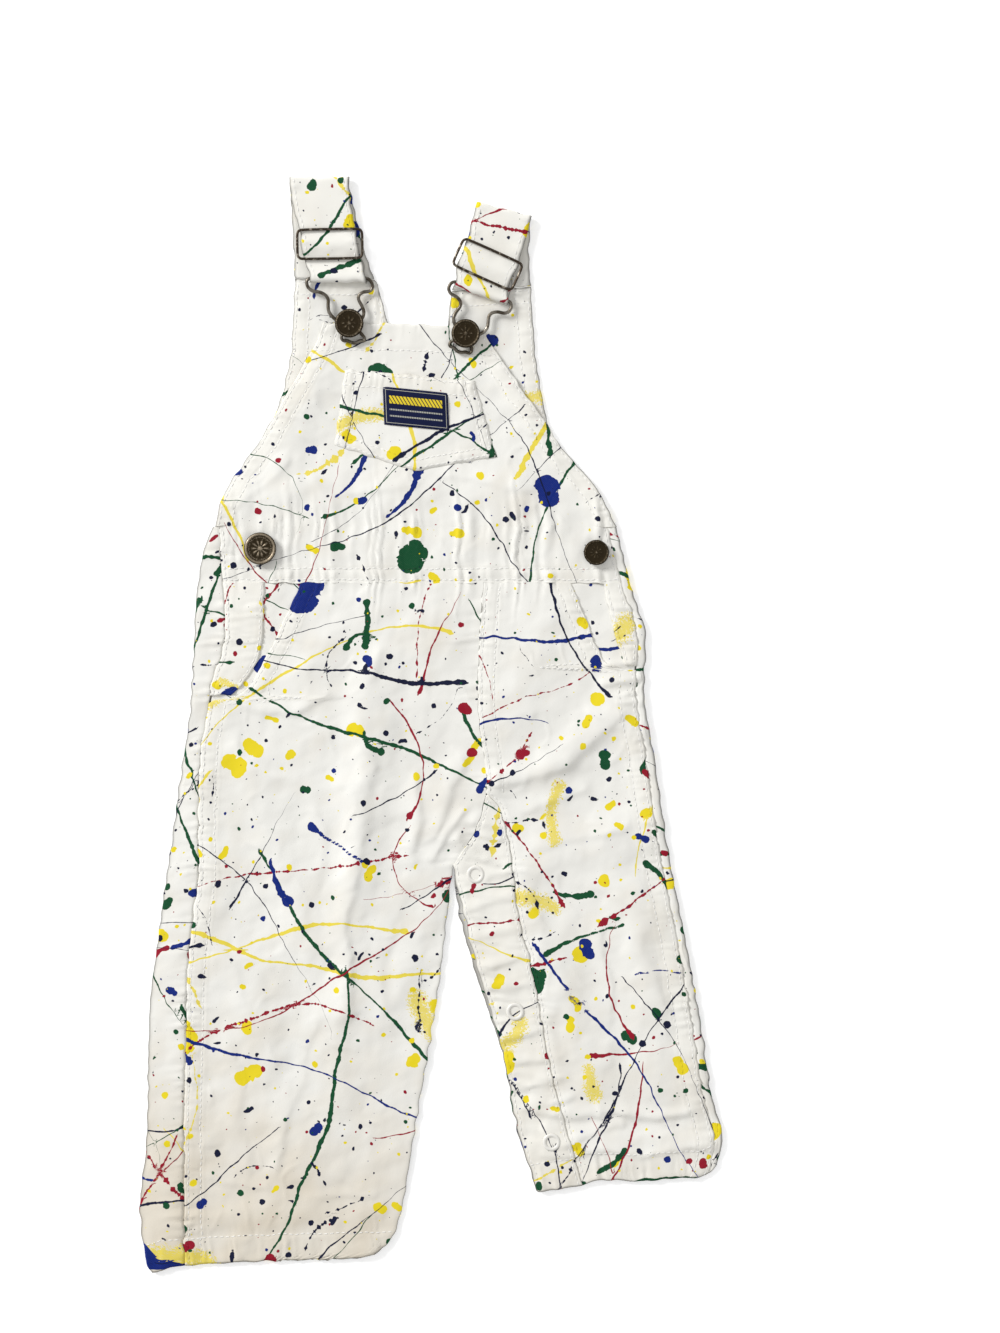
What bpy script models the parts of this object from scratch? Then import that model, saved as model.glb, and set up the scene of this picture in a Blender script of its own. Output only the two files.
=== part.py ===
"""A toddler's bib overalls in spattered cotton twill, laid flat on its back.

The garment lies in the XY plane with its shoulders towards +Y, its underside at Z = 0 and the
origin under the middle of its bounding box.  All the sizes below are millimetres.
"""
import math

import bmesh
import bpy
from mathutils import Vector

MM = 0.001

# ---- Cloth and how it is stacked ---------------------------------------------------------------

CLOTH = 1.0            # wall of every twill panel
STRAP_CLOTH = 1.2      # the straps are two plies pressed together
LABEL_CLOTH = 0.7
GAP = 0.3              # air left between two pieces that touch
SEAM = 0.5 * GAP       # each side of a seam draws back this far
LAYER = CLOTH + GAP    # how far one ply lifts the next

STEP = 12.0            # spacing of the rows and columns of a panel
ROLL_SEGMENTS = 4      # facets round the rolled outer edge of a leg

WAIST_TOP = 105.0      # seam between the bib and the waistband
WAIST_BOTTOM = 75.3    # seam between the waistband and the legs
CROTCH = -75.0
HEM_LEFT = -283.0      # nominal level of each hem, before its own slant
HEM_RIGHT = -241.0
HEM_EASE = 40.0        # height over which a slanted hem fades into the leg

# Levels where every piece has a row: the crotch, the corners of the hip pocket mouths and the hem.
KEY_LEVELS = (31.0, 29.6, 15.5, 12.4, -43.0, CROTCH, -274.5)

# ---- Seams and edges, each as rows of (y, x) from top to bottom --------------------------------

LEFT_EDGE = [(105, -115.5), (90, -121), (69, -124), (13, -127), (-17, -131), (-88, -141), (-154, -149),
             (-218, -150.5), (-254, -154), (-274, -151.5), (-283, -148)]
LEFT_SEAM = [(105, -111.6), (90, -111.4), (72, -109.7), (50, -108.7), (35, -111.3), (24, -115.6),
             (7, -118.2), (-12, -121.4), (-52, -123.0), (-76, -122.8), (-97, -125.1),
             (-135, -128.8), (-170, -129.5), (-206, -130.5), (-244, -130.2), (-283, -130.2)]
RIGHT_EDGE = [(105, 98), (75, 105.5), (44, 114), (20, 113), (-18, 118.5), (-66, 125.5), (-114, 135),
              (-162, 143.5), (-193, 148), (-222, 154.5), (-232, 154), (-241, 151)]
RIGHT_LIP = 4.6        # the back panel shows this much at the right-hand edge
CENTRE_SEAM = [(75.3, 27.6), (45, 25.6), (13, 24.9), (-10, 27.0), (-29, 29.7), (-45, 27.0),
               (-62, 20.0), (-75, 11.5)]
BACK_SEAM = [(105, 18.0), (40, 16.5), (-20, 15.0), (-75, 11.5)]
INNER_LEFT = [(-75, 11.3), (-88, 10.2), (-111, 7.4), (-142, 3.7), (-165, 0.0), (-192, -4.8),
              (-213, -8.0), (-234, -11.7), (-253, -14.8), (-265, -17.5), (-274.5, -22.3),
              (-280.5, -30.0), (-283, -39.0)]
INNER_RIGHT = [(-75, 11.7), (-98, 9.8), (-109, 14.2), (-121, 20), (-146, 28.5), (-178, 39),
               (-209, 44.5), (-241, 56.5)]
PLACKET_EDGE = [(-37, 29), (-45, 27.3), (-62, 20.3), (-75, 12), (-97, 16.8), (-121, 22.6), (-146, 30),
                (-178, 39.5), (-209, 45), (-241, 57)]
PLACKET_LINE = [(-37, 30.0), (-43, 35.5), (-66, 42.0), (-99, 46.1), (-123, 51.9), (-146, 56.7),
                (-167, 60.3), (-195, 66.5), (-220, 74.0), (-241, 80.5)]
MOUTH_LEFT = [(75.3, -69.0), (50, -80.0), (28, -91.5), (15.5, -101.5)]
MOUTH_RIGHT = [(75.3, 74.2), (60, 80.6), (37, 90.1), (31, 96.5)]
MOUTH_END_LEFT = 12.4      # level where each mouth meets its side seam
MOUTH_END_RIGHT = 29.6
SIDE_PLACKET_LEFT = [(75.3, -88.0), (50, -88.5), (38, -90.5), (28, -95.0), (20, -101.5), (14, -108.0)]
SIDE_PLACKET_RIGHT = [(75.3, 91.0), (50, 97.0), (40, 100.0), (31.4, 103.0)]
BIB_LEFT = [(213, -57.2), (203, -60.5), (190, -67.8), (178, -74.7), (166, -81.4), (154, -88.0),
            (139, -98.6), (124, -108.4), (113, -112.6), (105, -113.8)]
BIB_RIGHT = [(213, 27.4), (199, 35.5), (187, 42.9), (177, 48.4), (169, 54.6), (159, 61.6),
             (146, 69.8), (133, 81.4), (121, 90.2), (110, 95.6), (105, 98.2)]
BACK_LEFT = [(196, -73.8), (181, -77.4), (168, -81.1), (155, -88.0), (139, -98.0), (124, -107.4),
             (113, -111.6), (105, -113.2)]
BACK_RIGHT = [(196, 55.2), (179, 57.8), (160, 62.0), (146, 69.5), (133, 80.6), (121, 89.4),
              (110, 95.0), (105, 97.4)]

# How far each slanted edge lies off its nominal level, as rows of (x, y offset).
HEM_SLANT_LEFT = [(-153, -7.6), (-148, -7.4), (-136, -3.6), (-124, -2.6), (-100, -1.2), (-50, 0.4),
                  (-20, 1.0)]
HEM_SLANT_RIGHT = [(57, -6.0), (77, -3.3), (92, 0.2), (110, -0.4), (125, 1.0), (140, 1.6),
                   (147, 3.6), (152, 9.0)]
BIB_TOP_SLANT = [(-57, 0.0), (-20, -0.4), (12, -2.2), (28, -4.0)]

# The top edge of the high back: (share of the width, x, y), with a strap base at each side.
BACK_TOP = [(0.0, -72.1, 236.0), (0.108, -58.0, 236.0), (0.217, -44.0, 236.0),
            (0.325, -30.2, 236.0), (0.402, -22.0, 212.0), (0.487, -11.0, 205.0),
            (0.572, 0.0, 204.0), (0.642, 8.0, 208.0), (0.681, 11.6, 230.1), (0.789, 25.2, 230.7),
            (0.897, 38.9, 231.3), (1.0, 52.7, 231.9)]
BACK_YOKE = 196.0      # level where the strap bases begin

# Soft folds pressed into the front of the garment: a ridge along each segment.
FOLDS = [
    # x0, y0, x1, y1, half width, height
    (-27, 30, -38, -78, 11, 2.3),       # long fold down the left leg
    (-38, -78, -46, -150, 11, 2.0),
    (-46, -150, -54, -235, 13, 1.2),
    (-123, -20, -141, -270, 13, 1.4),   # fullness along the left outseam
    (-95, -20, -64, -115, 10, 1.3),
    (-102, -130, -72, -230, 12, 1.4),
    (12, -60, -45, -30, 8, 1.5),        # creases that leave the crotch
    (0, -100, -24, -155, 8, 1.0),
    (34, -31, 68, -20, 8, 1.6),
    (68, -20, 94, 8, 8, 1.6),
    (52, -76, 112, -58, 9, 1.5),
    (98, -60, 122, -190, 12, 2.0),      # long fold down the right leg
    (113, 5, 146, -195, 12, 1.2),
    (66, -120, 88, -190, 9, 1.3),
    (58, -222, 146, -219, 6, 1.4),      # the right hem buckles under its stitching
    (-136, -262, -32, -258, 8, 0.7),
    (-56, 192, -78, 140, 8, 1.2),       # from the bib buttons down to the hips
    (38, 186, 66, 140, 8, 1.2),
    (-20, 122, 42, 126, 9, 0.8),
    (-96, 120, -62, 126, 8, 0.8),
    (60, 58, 48, 5, 10, 1.0),
    (-35, 60, -68, 25, 9, 0.9),
]
DRAPE_LIMIT = 3.4               # the front never stands further than this off the back
LIFT_TOP = (150.0, 112.0)       # the pocket and placket plies lift the front between these levels
LIFT_BOTTOM = (12.0, -30.0)

# The patch pocket and its label: rows of (x left, y left, x right, y right, dip in the middle).
POCKET_ROWS = [(-45.6, 188.2, 23.3, 181.8, 0.0), (-48.0, 168.0, 29.0, 162.0, 0.0),
               (-50.9, 147.9, 34.5, 142.0, -10.5)]
LABEL_ROWS = [(-25.4, 179.1, 9.0, 175.6, 0.0), (-24.6, 159.0, 9.8, 155.6, 0.0)]

# ---- Straps and metal ----------------------------------------------------------------------------

WIRE = 1.0                  # radius of the buckle wire
SLIDER_WIRE = 0.8           # radius of the slider wire
SLIDER_HALF_WIDTH = 17.2
SLIDER_HALF_HEIGHT = 7.8
SLIDER_CORNER = 2.6
SLIDER_BAR_HALF_LENGTH = 15.9

PLY_BACK = 0.5 * STRAP_CLOTH                        # middle of the ply that lies on the surface
PLY_RETURN = PLY_BACK + STRAP_CLOTH + GAP           # the end that comes back up behind
LOOP_RADIUS = WIRE + GAP + 0.5 * STRAP_CLOTH        # strap round the buckle bar
BUCKLE_Z = PLY_RETURN + LOOP_RADIUS
PLY_LOOP = BUCKLE_Z + LOOP_RADIUS
BAR_Z = PLY_RETURN + 0.5 * STRAP_CLOTH + GAP + SLIDER_WIRE
PLY_OVER_BAR = BAR_Z + SLIDER_WIRE + GAP + 0.5 * STRAP_CLOTH
PLY_UNDER_WIRE = PLY_RETURN + STRAP_CLOTH + 0.6
SLIDER_Z = PLY_UNDER_WIRE + 0.5 * STRAP_CLOTH + GAP + SLIDER_WIRE
FOLD_RADIUS = 0.5 * (PLY_UNDER_WIRE - PLY_BACK)

# Each strap, as rows of (x, y, turn in degrees, half width) across it: up the back from the seam
# to the shoulder fold, then down the front, where each row also has the height of its middle.
STRAPS = {
    "left": {
        "back": [(-51.1, 236.3, 0.0, 20.9), (-54.5, 254.0, 0.0, 18.4), (-57.0, 272.0, 0.0, 16.8),
                 (-59.0, 287.9, -0.5, 15.9)],
        "front": [(-59.0, 287.9, -0.5, 15.8, PLY_UNDER_WIRE), (-57.5, 275.0, 0.0, 15.6, PLY_UNDER_WIRE),
                  (-54.8, 262.6, 0.5, 14.8, PLY_UNDER_WIRE), (-53.4, 254.6, 1.0, 14.9, PLY_OVER_BAR),
                  (-52.0, 246.0, 0.5, 14.8, PLY_UNDER_WIRE)],
        "slider": (-53.3, 254.2, 1.0),
        "buckle": (-49.0, 236.2, 0.0),
        "lean": 0.25,
    },
    "right": {
        "back": [(32.2, 231.5, 2.5, 20.6), (33.8, 245.0, 2.0, 18.2), (35.8, 258.0, -3.0, 16.2),
                 (38.4, 271.2, -14.2, 14.9)],
        "front": [(38.4, 271.2, -14.2, 14.9, PLY_UNDER_WIRE), (35.6, 260.5, -19.0, 14.8, PLY_UNDER_WIRE),
                  (33.2, 250.9, -24.0, 14.8, PLY_UNDER_WIRE), (30.1, 243.7, -24.3, 14.8, PLY_OVER_BAR),
                  (27.2, 236.4, -24.0, 14.8, PLY_UNDER_WIRE)],
        "slider": (30.1, 243.4, -24.3),
        "buckle": (27.2, 229.2, -20.0),
        "lean": -0.02,
    },
}
RETURN_LENGTH = 13.0        # the end of the strap that comes back up behind the buckle bar

# Half of the hourglass wire: (across, along) from the middle of its bar down to its tip.
BUCKLE_HALF = [(0.0, 0.0), (15.6, 0.0), (17.2, -1.4), (17.4, -4.2), (15.2, -6.8), (11.4, -7.2),
               (8.6, -8.8), (7.8, -11.2), (8.9, -14.2), (9.4, -17.0), (8.2, -20.2), (5.6, -23.0),
               (4.2, -26.0), (4.4, -28.8), (6.4, -31.2), (5.8, -33.2), (3.4, -32.8), (1.8, -33.8),
               (0.0, -34.4)]
BUCKLE_REACH = 24.0         # from the bar to the button
STRAP_AT_BUCKLE = 14.6      # half the strap's width there
BUCKLE_STEP = 2.2

# Turned pieces: profiles of (radius, height) down the outside from the top.
BIB_BUTTON = [(0.0, 2.3), (4.6, 2.1), (5.6, 2.5), (6.9, 2.3), (7.6, 1.4), (7.4, 0.5), (6.6, 0.0),
              (2.2, 0.0), (2.2, -2.4), (0.0, -2.4)]
HIP_BUTTON = [(0.0, 2.3), (5.0, 2.1), (6.1, 2.6), (7.6, 2.4), (8.5, 1.5), (8.3, 0.5), (7.2, 0.0),
              (2.4, 0.0), (2.4, -0.9), (0.0, -0.9)]
SNAP_RING = [(2.7, 0.3), (3.4, 0.8), (4.2, 0.8), (4.8, 0.3), (4.8, 0.0), (2.7, 0.0)]
TURN_STEPS = 24
HIP_BUTTONS = {"left": (-90.1, 93.3, 1.0), "right": (87.5, 91.2, 0.79)}   # (x, y, size)
SNAP_RINGS = {"top": (23.6, -79.0), "middle": (44.6, -151.6), "bottom": (63.8, -220.5)}

TWILL = (0.90, 0.89, 0.86)
NAVY = (0.010, 0.013, 0.065)
BRONZE = (0.10, 0.078, 0.050)
WHITE_ENAMEL = (0.85, 0.85, 0.83)


# ---- Curves and the lie of the cloth -------------------------------------------------------------

def curve_through(table):
    """A smooth function through the (key, value) rows, with no bulge past a row."""
    rows = sorted(table)
    keys = [row[0] for row in rows]
    values = [row[1] for row in rows]
    rises = [(values[i + 1] - values[i]) / (keys[i + 1] - keys[i]) for i in range(len(rows) - 1)]

    def slope(i):
        if i == 0 or i == len(rows) - 1:
            return rises[min(i, len(rises) - 1)]
        before, after = rises[i - 1], rises[i]
        if before * after <= 0:
            return 0.0
        return 2 * before * after / (before + after)

    def value(key):
        key = min(max(key, keys[0]), keys[-1])
        i = max(k for k in range(len(rises)) if keys[k] <= key)
        width = keys[i + 1] - keys[i]
        t = (key - keys[i]) / width
        rest = 1 - t
        return (values[i] * rest * rest * (1 + 2 * t) + slope(i) * width * t * rest * rest
                + values[i + 1] * t * t * (3 - 2 * t) - slope(i + 1) * width * t * t * rest)

    return value


def ease(start, end, value):
    """0 at start, 1 at end, smooth between."""
    t = min(max((value - start) / (end - start), 0.0), 1.0)
    return t * t * (3 - 2 * t)


def drape(x, y):
    """Height that the soft folds add to the front at (x, y)."""
    total = 0.0
    point = Vector((x, y))
    for x0, y0, x1, y1, half_width, height in FOLDS:
        start = Vector((x0, y0))
        along = Vector((x1, y1)) - start
        share = min(max((point - start).dot(along) / along.length_squared, 0.0), 1.0)
        distance = (point - start - along * share).length
        total += height * math.exp(-(distance / half_width) ** 2)
    return total


def front(x, y):
    """Face of the front of the garment, above the flat back."""
    lift = LAYER * ease(*LIFT_TOP, y) * (1 - ease(*LIFT_BOTTOM, y))
    room = DRAPE_LIMIT - lift
    return LAYER + CLOTH + lift + room * math.tanh(drape(x, y) / room)


def seat(x, y, radius):
    """Lowest level at which a flat round thing clears the face of the front."""
    ring = [(x + radius * math.cos(a), y + radius * math.sin(a))
            for a in (i * math.tau / 12 for i in range(12))]
    return max(front(*point) for point in ring + [(x, y)]) + GAP


def levels(top, bottom):
    """The shared row levels from bottom to top, so that two sides of a seam have the same facets."""
    rows = {STEP * i for i in range(math.ceil(bottom / STEP), math.floor(top / STEP) + 1)}
    fixed = {y for y in KEY_LEVELS if bottom < y < top} | {bottom, top}
    rows = {y for y in rows if min(abs(y - level) for level in fixed) > 0.3 * STEP}
    return sorted(rows | fixed)


def shares(count):
    return [i / count for i in range(count + 1)]


left_edge = curve_through(LEFT_EDGE)
left_seam = curve_through(LEFT_SEAM)
right_edge = curve_through(RIGHT_EDGE)
centre_seam = curve_through(CENTRE_SEAM)
back_seam = curve_through(BACK_SEAM)
inner_left = curve_through(INNER_LEFT)
inner_right = curve_through(INNER_RIGHT)
placket_edge = curve_through(PLACKET_EDGE)
placket_line = curve_through(PLACKET_LINE)
mouth_left = curve_through(MOUTH_LEFT + [(MOUTH_END_LEFT, left_seam(MOUTH_END_LEFT) + SEAM)])
mouth_right = curve_through(MOUTH_RIGHT + [(MOUTH_END_RIGHT, right_edge(MOUTH_END_RIGHT) - RIGHT_LIP - SEAM)])
side_left = curve_through(SIDE_PLACKET_LEFT)
side_right = curve_through(SIDE_PLACKET_RIGHT)
bib_left = curve_through(BIB_LEFT)
bib_right = curve_through(BIB_RIGHT)
back_left = curve_through(BACK_LEFT)
back_right = curve_through(BACK_RIGHT)
hem_slant_left = curve_through(HEM_SLANT_LEFT)
hem_slant_right = curve_through(HEM_SLANT_RIGHT)
bib_top_slant = curve_through(BIB_TOP_SLANT)


def right_seam(y):
    return right_edge(y) - RIGHT_LIP


def hem_left(x, y):
    return y + hem_slant_left(x) * ease(HEM_LEFT + HEM_EASE, HEM_LEFT, y)


def hem_right(x, y):
    return y + hem_slant_right(x) * ease(HEM_RIGHT + HEM_EASE, HEM_RIGHT, y)


# ---- Makers ----------------------------------------------------------------------------------------

def start():
    for found in list(bpy.data.objects):
        bpy.data.objects.remove(found, do_unlink=True)
    parts = bpy.data.collections.new("spattered_overalls")
    bpy.context.scene.collection.children.link(parts)
    return parts


def finish_for(name, colour, roughness=0.85, metallic=0.0):
    material = bpy.data.materials.new(name)
    material.use_nodes = True
    shader = material.node_tree.nodes["Principled BSDF"]
    shader.inputs["Base Color"].default_value = (*colour, 1.0)
    shader.inputs["Roughness"].default_value = roughness
    shader.inputs["Metallic"].default_value = metallic
    return material


def add(name, data, material):
    piece = bpy.data.objects.new(name, data)
    piece.data.materials.append(material)
    PARTS.objects.link(piece)
    return piece


def sheet(name, rows, thickness=CLOTH, offset=-1.0, colour=TWILL):
    """A cloth wall whose face is a grid: rows of (x, y, z) from bottom to top."""
    grid = bmesh.new()
    across, up = len(rows[0]) - 1, len(rows) - 1
    bmesh.ops.create_grid(grid, x_segments=across, y_segments=up, size=0.5)
    for vertex in grid.verts:
        column = round((vertex.co.x + 0.5) * across)
        row = round((vertex.co.y + 0.5) * up)
        vertex.co = Vector(rows[row][column]) * MM
    mesh = bpy.data.meshes.new(name)
    grid.to_mesh(mesh)
    grid.free()
    piece = add(name, mesh, finish_for(name, colour))
    wall = piece.modifiers.new("Wall", "SOLIDIFY")
    wall.thickness = thickness * MM
    wall.offset = offset
    return piece


def panel(name, ys, left, right, height, slant=None):
    """A flat-cut piece between two edges that are functions of y."""
    widest = max(right(y) - left(y) for y in ys)
    columns = shares(max(1, round(widest / STEP)))
    rows = []
    for y in ys:
        row = []
        for share in columns:
            x = left(y) + (right(y) - left(y)) * share
            lie = slant(x, y) if slant else y
            row.append((x, lie, height(x, lie)))
        rows.append(row)
    return sheet(name, rows)


def rolled_leg(name, ys, inner, edge, lip, slant, side, lip_columns):
    """A back panel that rolls round its outer edge and ends as a lip on the front.

    side is 1 where the outer edge is at the left and -1 where it is at the right.
    """
    rows = []
    floor_columns = 4
    for y in ys:
        outer = edge(y)
        height = front(outer, y)
        radius = 0.5 * height
        turn = outer + side * radius
        row = [(inner(y) + (turn - inner(y)) * share, 0.0) for share in shares(floor_columns)]
        for i in range(1, ROLL_SEGMENTS + 1):
            angle = math.pi * i / ROLL_SEGMENTS
            row.append((turn - side * radius * math.sin(angle), radius - radius * math.cos(angle)))
        for share in shares(lip_columns)[1:]:
            row.append((turn + (lip(y) - turn) * share, None))
        row = [(x, slant(x, y), z) for x, z in row]
        row = [(x, lie, front(x, lie) if z is None else z) for x, lie, z in row]
        rows.append(row)
    return sheet(name, rows, offset=-side)


def facing_level(x, y):
    return LAYER + CLOTH


def across(x, y, turn, half_width, z):
    """The two ends of a row laid across a strap."""
    angle = math.radians(turn)
    reach = Vector((math.cos(angle), math.sin(angle), 0.0)) * half_width
    middle = Vector((x, y, z))
    return middle - reach, middle + reach


def half_turn(row, way, radius, z, rise):
    """Rows of half a turn over a fold (way 1) or round a bar (way -1), from the row at height z."""
    x, y, turn, half_width = row
    angle = math.radians(turn)
    found = []
    for i in range(1, 6):
        bend = math.pi * i / 6
        reach = way * radius * math.sin(bend)
        found.append(across(x - reach * math.sin(angle), y + reach * math.cos(angle), turn,
                            half_width, z + rise * radius * (1 - math.cos(bend))))
    return found


def strap_rows(strap):
    """The strap's path as rows of (left point, right point)."""
    bar_x, bar_y, bar_turn = strap["buckle"]
    at_bar = (bar_x, bar_y, bar_turn, STRAP_AT_BUCKLE)
    slider_x, slider_y, slider_turn = strap["slider"]
    share = RETURN_LENGTH / math.dist((bar_x, bar_y), (slider_x, slider_y))
    path = [across(*row, PLY_BACK) for row in strap["back"]]
    path += half_turn(strap["back"][-1], 1, FOLD_RADIUS, PLY_BACK, 1)
    path += [across(*row) for row in strap["front"]]
    path.append(across(*at_bar, PLY_LOOP))
    path += half_turn(at_bar, -1, LOOP_RADIUS, PLY_LOOP, -1)
    path.append(across(*at_bar, PLY_RETURN))
    path.append(across(bar_x + (slider_x - bar_x) * share, bar_y + (slider_y - bar_y) * share,
                       bar_turn + (slider_turn - bar_turn) * share, STRAP_AT_BUCKLE, PLY_RETURN))
    return path


def make_strap(side, strap):
    rows = []
    for left, right in strap_rows(strap):
        rows.append([tuple(left.lerp(right, share)) for share in shares(2)])
    return sheet("strap_" + side, rows, thickness=STRAP_CLOTH, offset=0.0)


def wire(name, points, radius, closed, colour=BRONZE):
    """A bent wire through the points."""
    curve = bpy.data.curves.new(name, "CURVE")
    curve.dimensions = "3D"
    curve.bevel_depth = radius * MM
    curve.bevel_resolution = 2
    curve.use_fill_caps = True
    spline = curve.splines.new("POLY")
    spline.points.add(len(points) - 1)
    for point, place in zip(spline.points, points):
        point.co = (*(Vector(place) * MM), 1.0)
    spline.use_cyclic_u = closed
    return add(name, curve, finish_for(name, colour, roughness=0.42, metallic=1.0))


def placed(points, x, y, z, degrees):
    """Flat points turned about their origin and set down at (x, y, z)."""
    c, s = math.cos(math.radians(degrees)), math.sin(math.radians(degrees))
    return [(x + c * u - s * v, y + s * u + c * v, z) for u, v in points]


def rounded(points, step):
    """Points about one step apart on a smooth closed curve through the given ones."""
    found = []
    count = len(points)
    for i in range(count):
        before, start_point = Vector(points[i - 1]), Vector(points[i])
        end_point, after = Vector(points[(i + 1) % count]), Vector(points[(i + 2) % count])
        span = (end_point - start_point).length
        pieces = max(1, round(span / step))
        lean_in = (end_point - before) * span / ((start_point - before).length + span)
        lean_out = (after - start_point) * span / (span + (after - end_point).length)
        for k in range(pieces):
            t = k / pieces
            rest = 1 - t
            point = (start_point * (rest * rest * (1 + 2 * t)) + lean_in * (t * rest * rest)
                     + end_point * (t * t * (3 - 2 * t)) - lean_out * (t * t * rest))
            found.append(tuple(point))
    return found


def make_slider(side, strap):
    x, y, turn = strap["slider"]
    corners = [(1, 1, 0), (-1, 1, 90), (-1, -1, 180), (1, -1, 270)]
    outline = []
    for across, along, first in corners:
        for i in range(4):
            angle = math.radians(first + 30 * i)
            outline.append((across * (SLIDER_HALF_WIDTH - SLIDER_CORNER) + SLIDER_CORNER * math.cos(angle),
                            along * (SLIDER_HALF_HEIGHT - SLIDER_CORNER) + SLIDER_CORNER * math.sin(angle)))
    wire("slider_frame_" + side, placed(outline, x, y, SLIDER_Z, turn), SLIDER_WIRE, closed=True)
    bar = [(-SLIDER_BAR_HALF_LENGTH, 0.0), (0.0, 0.0), (SLIDER_BAR_HALF_LENGTH, 0.0)]
    wire("slider_bar_" + side, placed(bar, x, y, BAR_Z, turn), SLIDER_WIRE, closed=False)


def on_buckle(strap, points):
    """Points given along a buckle from its bar, leant over and laid in place."""
    x, y, turn = strap["buckle"]
    return placed([(u - strap["lean"] * v, v) for u, v in points], x, y, BUCKLE_Z, turn)


def make_buckle(side, strap):
    other_half = [(-u, v) for u, v in reversed(BUCKLE_HALF[1:-1])]
    outline = rounded(BUCKLE_HALF + other_half, BUCKLE_STEP)
    wire("buckle_" + side, on_buckle(strap, outline), WIRE, closed=True)


def turned(name, profile, x, y, z, colour, roughness, metallic, closed=False):
    """A turned piece: its profile spun about Z by a Screw modifier."""
    outline = bmesh.new()
    points = [outline.verts.new((radius * MM, 0.0, height * MM)) for radius, height in profile]
    for first, second in zip(points, points[1:]):
        outline.edges.new((first, second))
    if closed:
        outline.edges.new((points[-1], points[0]))
    mesh = bpy.data.meshes.new(name)
    outline.to_mesh(mesh)
    outline.free()
    piece = add(name, mesh, finish_for(name, colour, roughness, metallic))
    spin = piece.modifiers.new("Turn", "SCREW")
    spin.steps = TURN_STEPS
    spin.render_steps = TURN_STEPS
    spin.use_merge_vertices = True
    spin.merge_threshold = 0.00001
    piece.location = (x * MM, y * MM, z * MM)
    return piece


def make_bib_button(side, strap):
    x, y, _ = on_buckle(strap, [(0.0, -BUCKLE_REACH)])[0]
    post = -BIB_BUTTON[-1][1]
    z = max(seat(x, y, BIB_BUTTON[-2][0]) + post, BUCKLE_Z + WIRE + GAP)
    turned("bib_button_" + side, BIB_BUTTON, x, y, z, BRONZE, 0.45, 1.0)


def make_hip_button(side, x, y, size):
    post = -HIP_BUTTON[-1][1]
    z = seat(x, y, HIP_BUTTON[4][0] * size) + post
    profile = [(radius * size, height) for radius, height in HIP_BUTTON]
    turned("hip_button_" + side, profile, x, y, z, BRONZE, 0.45, 1.0)


def make_snap(name, place):
    z = seat(*place, SNAP_RING[3][0])
    turned("snap_ring_" + name, SNAP_RING, *place, z, WHITE_ENAMEL, 0.3, 0.0, closed=True)


# ---- Cloth pieces ----------------------------------------------------------------------------------

def make_backs():
    def inner_l(y):
        return back_seam(y) - SEAM if y >= CROTCH else inner_left(y) - GAP

    def inner_r(y):
        return back_seam(y) + SEAM if y >= CROTCH else inner_right(y)

    rolled_leg("back_leg_left", levels(WAIST_TOP - SEAM, HEM_LEFT), inner_l, left_edge,
               lambda y: left_seam(y) - SEAM, hem_left, side=1, lip_columns=2)
    rolled_leg("back_leg_right", levels(WAIST_TOP - SEAM, HEM_RIGHT), inner_r,
               right_edge, lambda y: right_seam(y) + SEAM, hem_right, side=-1, lip_columns=1)

    columns = [row[0] for row in BACK_TOP]
    rows = []
    for y in levels(BACK_YOKE, WAIST_TOP + SEAM):
        width = back_right(y) - back_left(y)
        rows.append([(back_left(y) + width * share, y, 0.0) for share in columns])
    yoke = [Vector(point) for point in rows[-1]]
    top = [Vector((x, y, 0.0)) for _, x, y in BACK_TOP]
    for share in (0.34, 0.67, 1.0):
        rows.append([tuple(low.lerp(high, share)) for low, high in zip(yoke, top)])
    sheet("back_bib", rows, offset=1.0)


def make_fronts():
    def leg_left_outer(y):
        return mouth_left(y) if y >= MOUTH_END_LEFT else left_seam(y) + SEAM

    def leg_left_inner(y):
        return centre_seam(y) - SEAM if y >= CROTCH else inner_left(y)

    def leg_right_inner(y):
        return centre_seam(y) + SEAM if y >= PLACKET_LINE[0][0] else placket_line(y) + SEAM

    def leg_right_outer(y):
        return mouth_right(y) if y >= MOUTH_END_RIGHT else right_seam(y) - SEAM

    top = WAIST_BOTTOM - SEAM
    panel("front_leg_left", levels(top, HEM_LEFT),
          leg_left_outer, leg_left_inner, front, slant=hem_left)
    panel("front_leg_right", levels(top, HEM_RIGHT),
          leg_right_inner, leg_right_outer, front, slant=hem_right)
    panel("inseam_placket", levels(-38.0, HEM_RIGHT), placket_edge,
          lambda y: placket_line(y) - SEAM, front, slant=hem_right)


def make_waist():
    panel("waistband_front", levels(WAIST_TOP - SEAM, WAIST_BOTTOM + SEAM),
          lambda y: left_seam(y) + SEAM, lambda y: right_seam(y) - SEAM, front)
    panel("side_placket_left", levels(WAIST_BOTTOM - SEAM, 15.8),
          lambda y: left_seam(y) + SEAM, side_left, front)
    panel("side_placket_right", levels(WAIST_BOTTOM - SEAM, 31.6),
          side_right, lambda y: right_seam(y) - SEAM, front)
    hidden = 12.0      # the facing runs on this far behind the mouth
    tuck = 13.0        # and this far behind the placket
    panel("hip_pocket_facing_left", levels(WAIST_BOTTOM - SEAM, 17.0),
          lambda y: side_left(y) - tuck, lambda y: mouth_left(y) + hidden, facing_level)
    panel("hip_pocket_facing_right", levels(WAIST_BOTTOM - SEAM, 33.0),
          lambda y: mouth_right(y) - hidden, lambda y: side_right(y) + 0.5 * tuck, facing_level)


def make_bib():
    top = BIB_LEFT[0][0]

    def slant(x, y):
        return y + bib_top_slant(x) * ease(top - HEM_EASE, top, y)

    panel("bib_front", levels(top, WAIST_TOP + SEAM), bib_left, bib_right, front, slant=slant)


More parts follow.
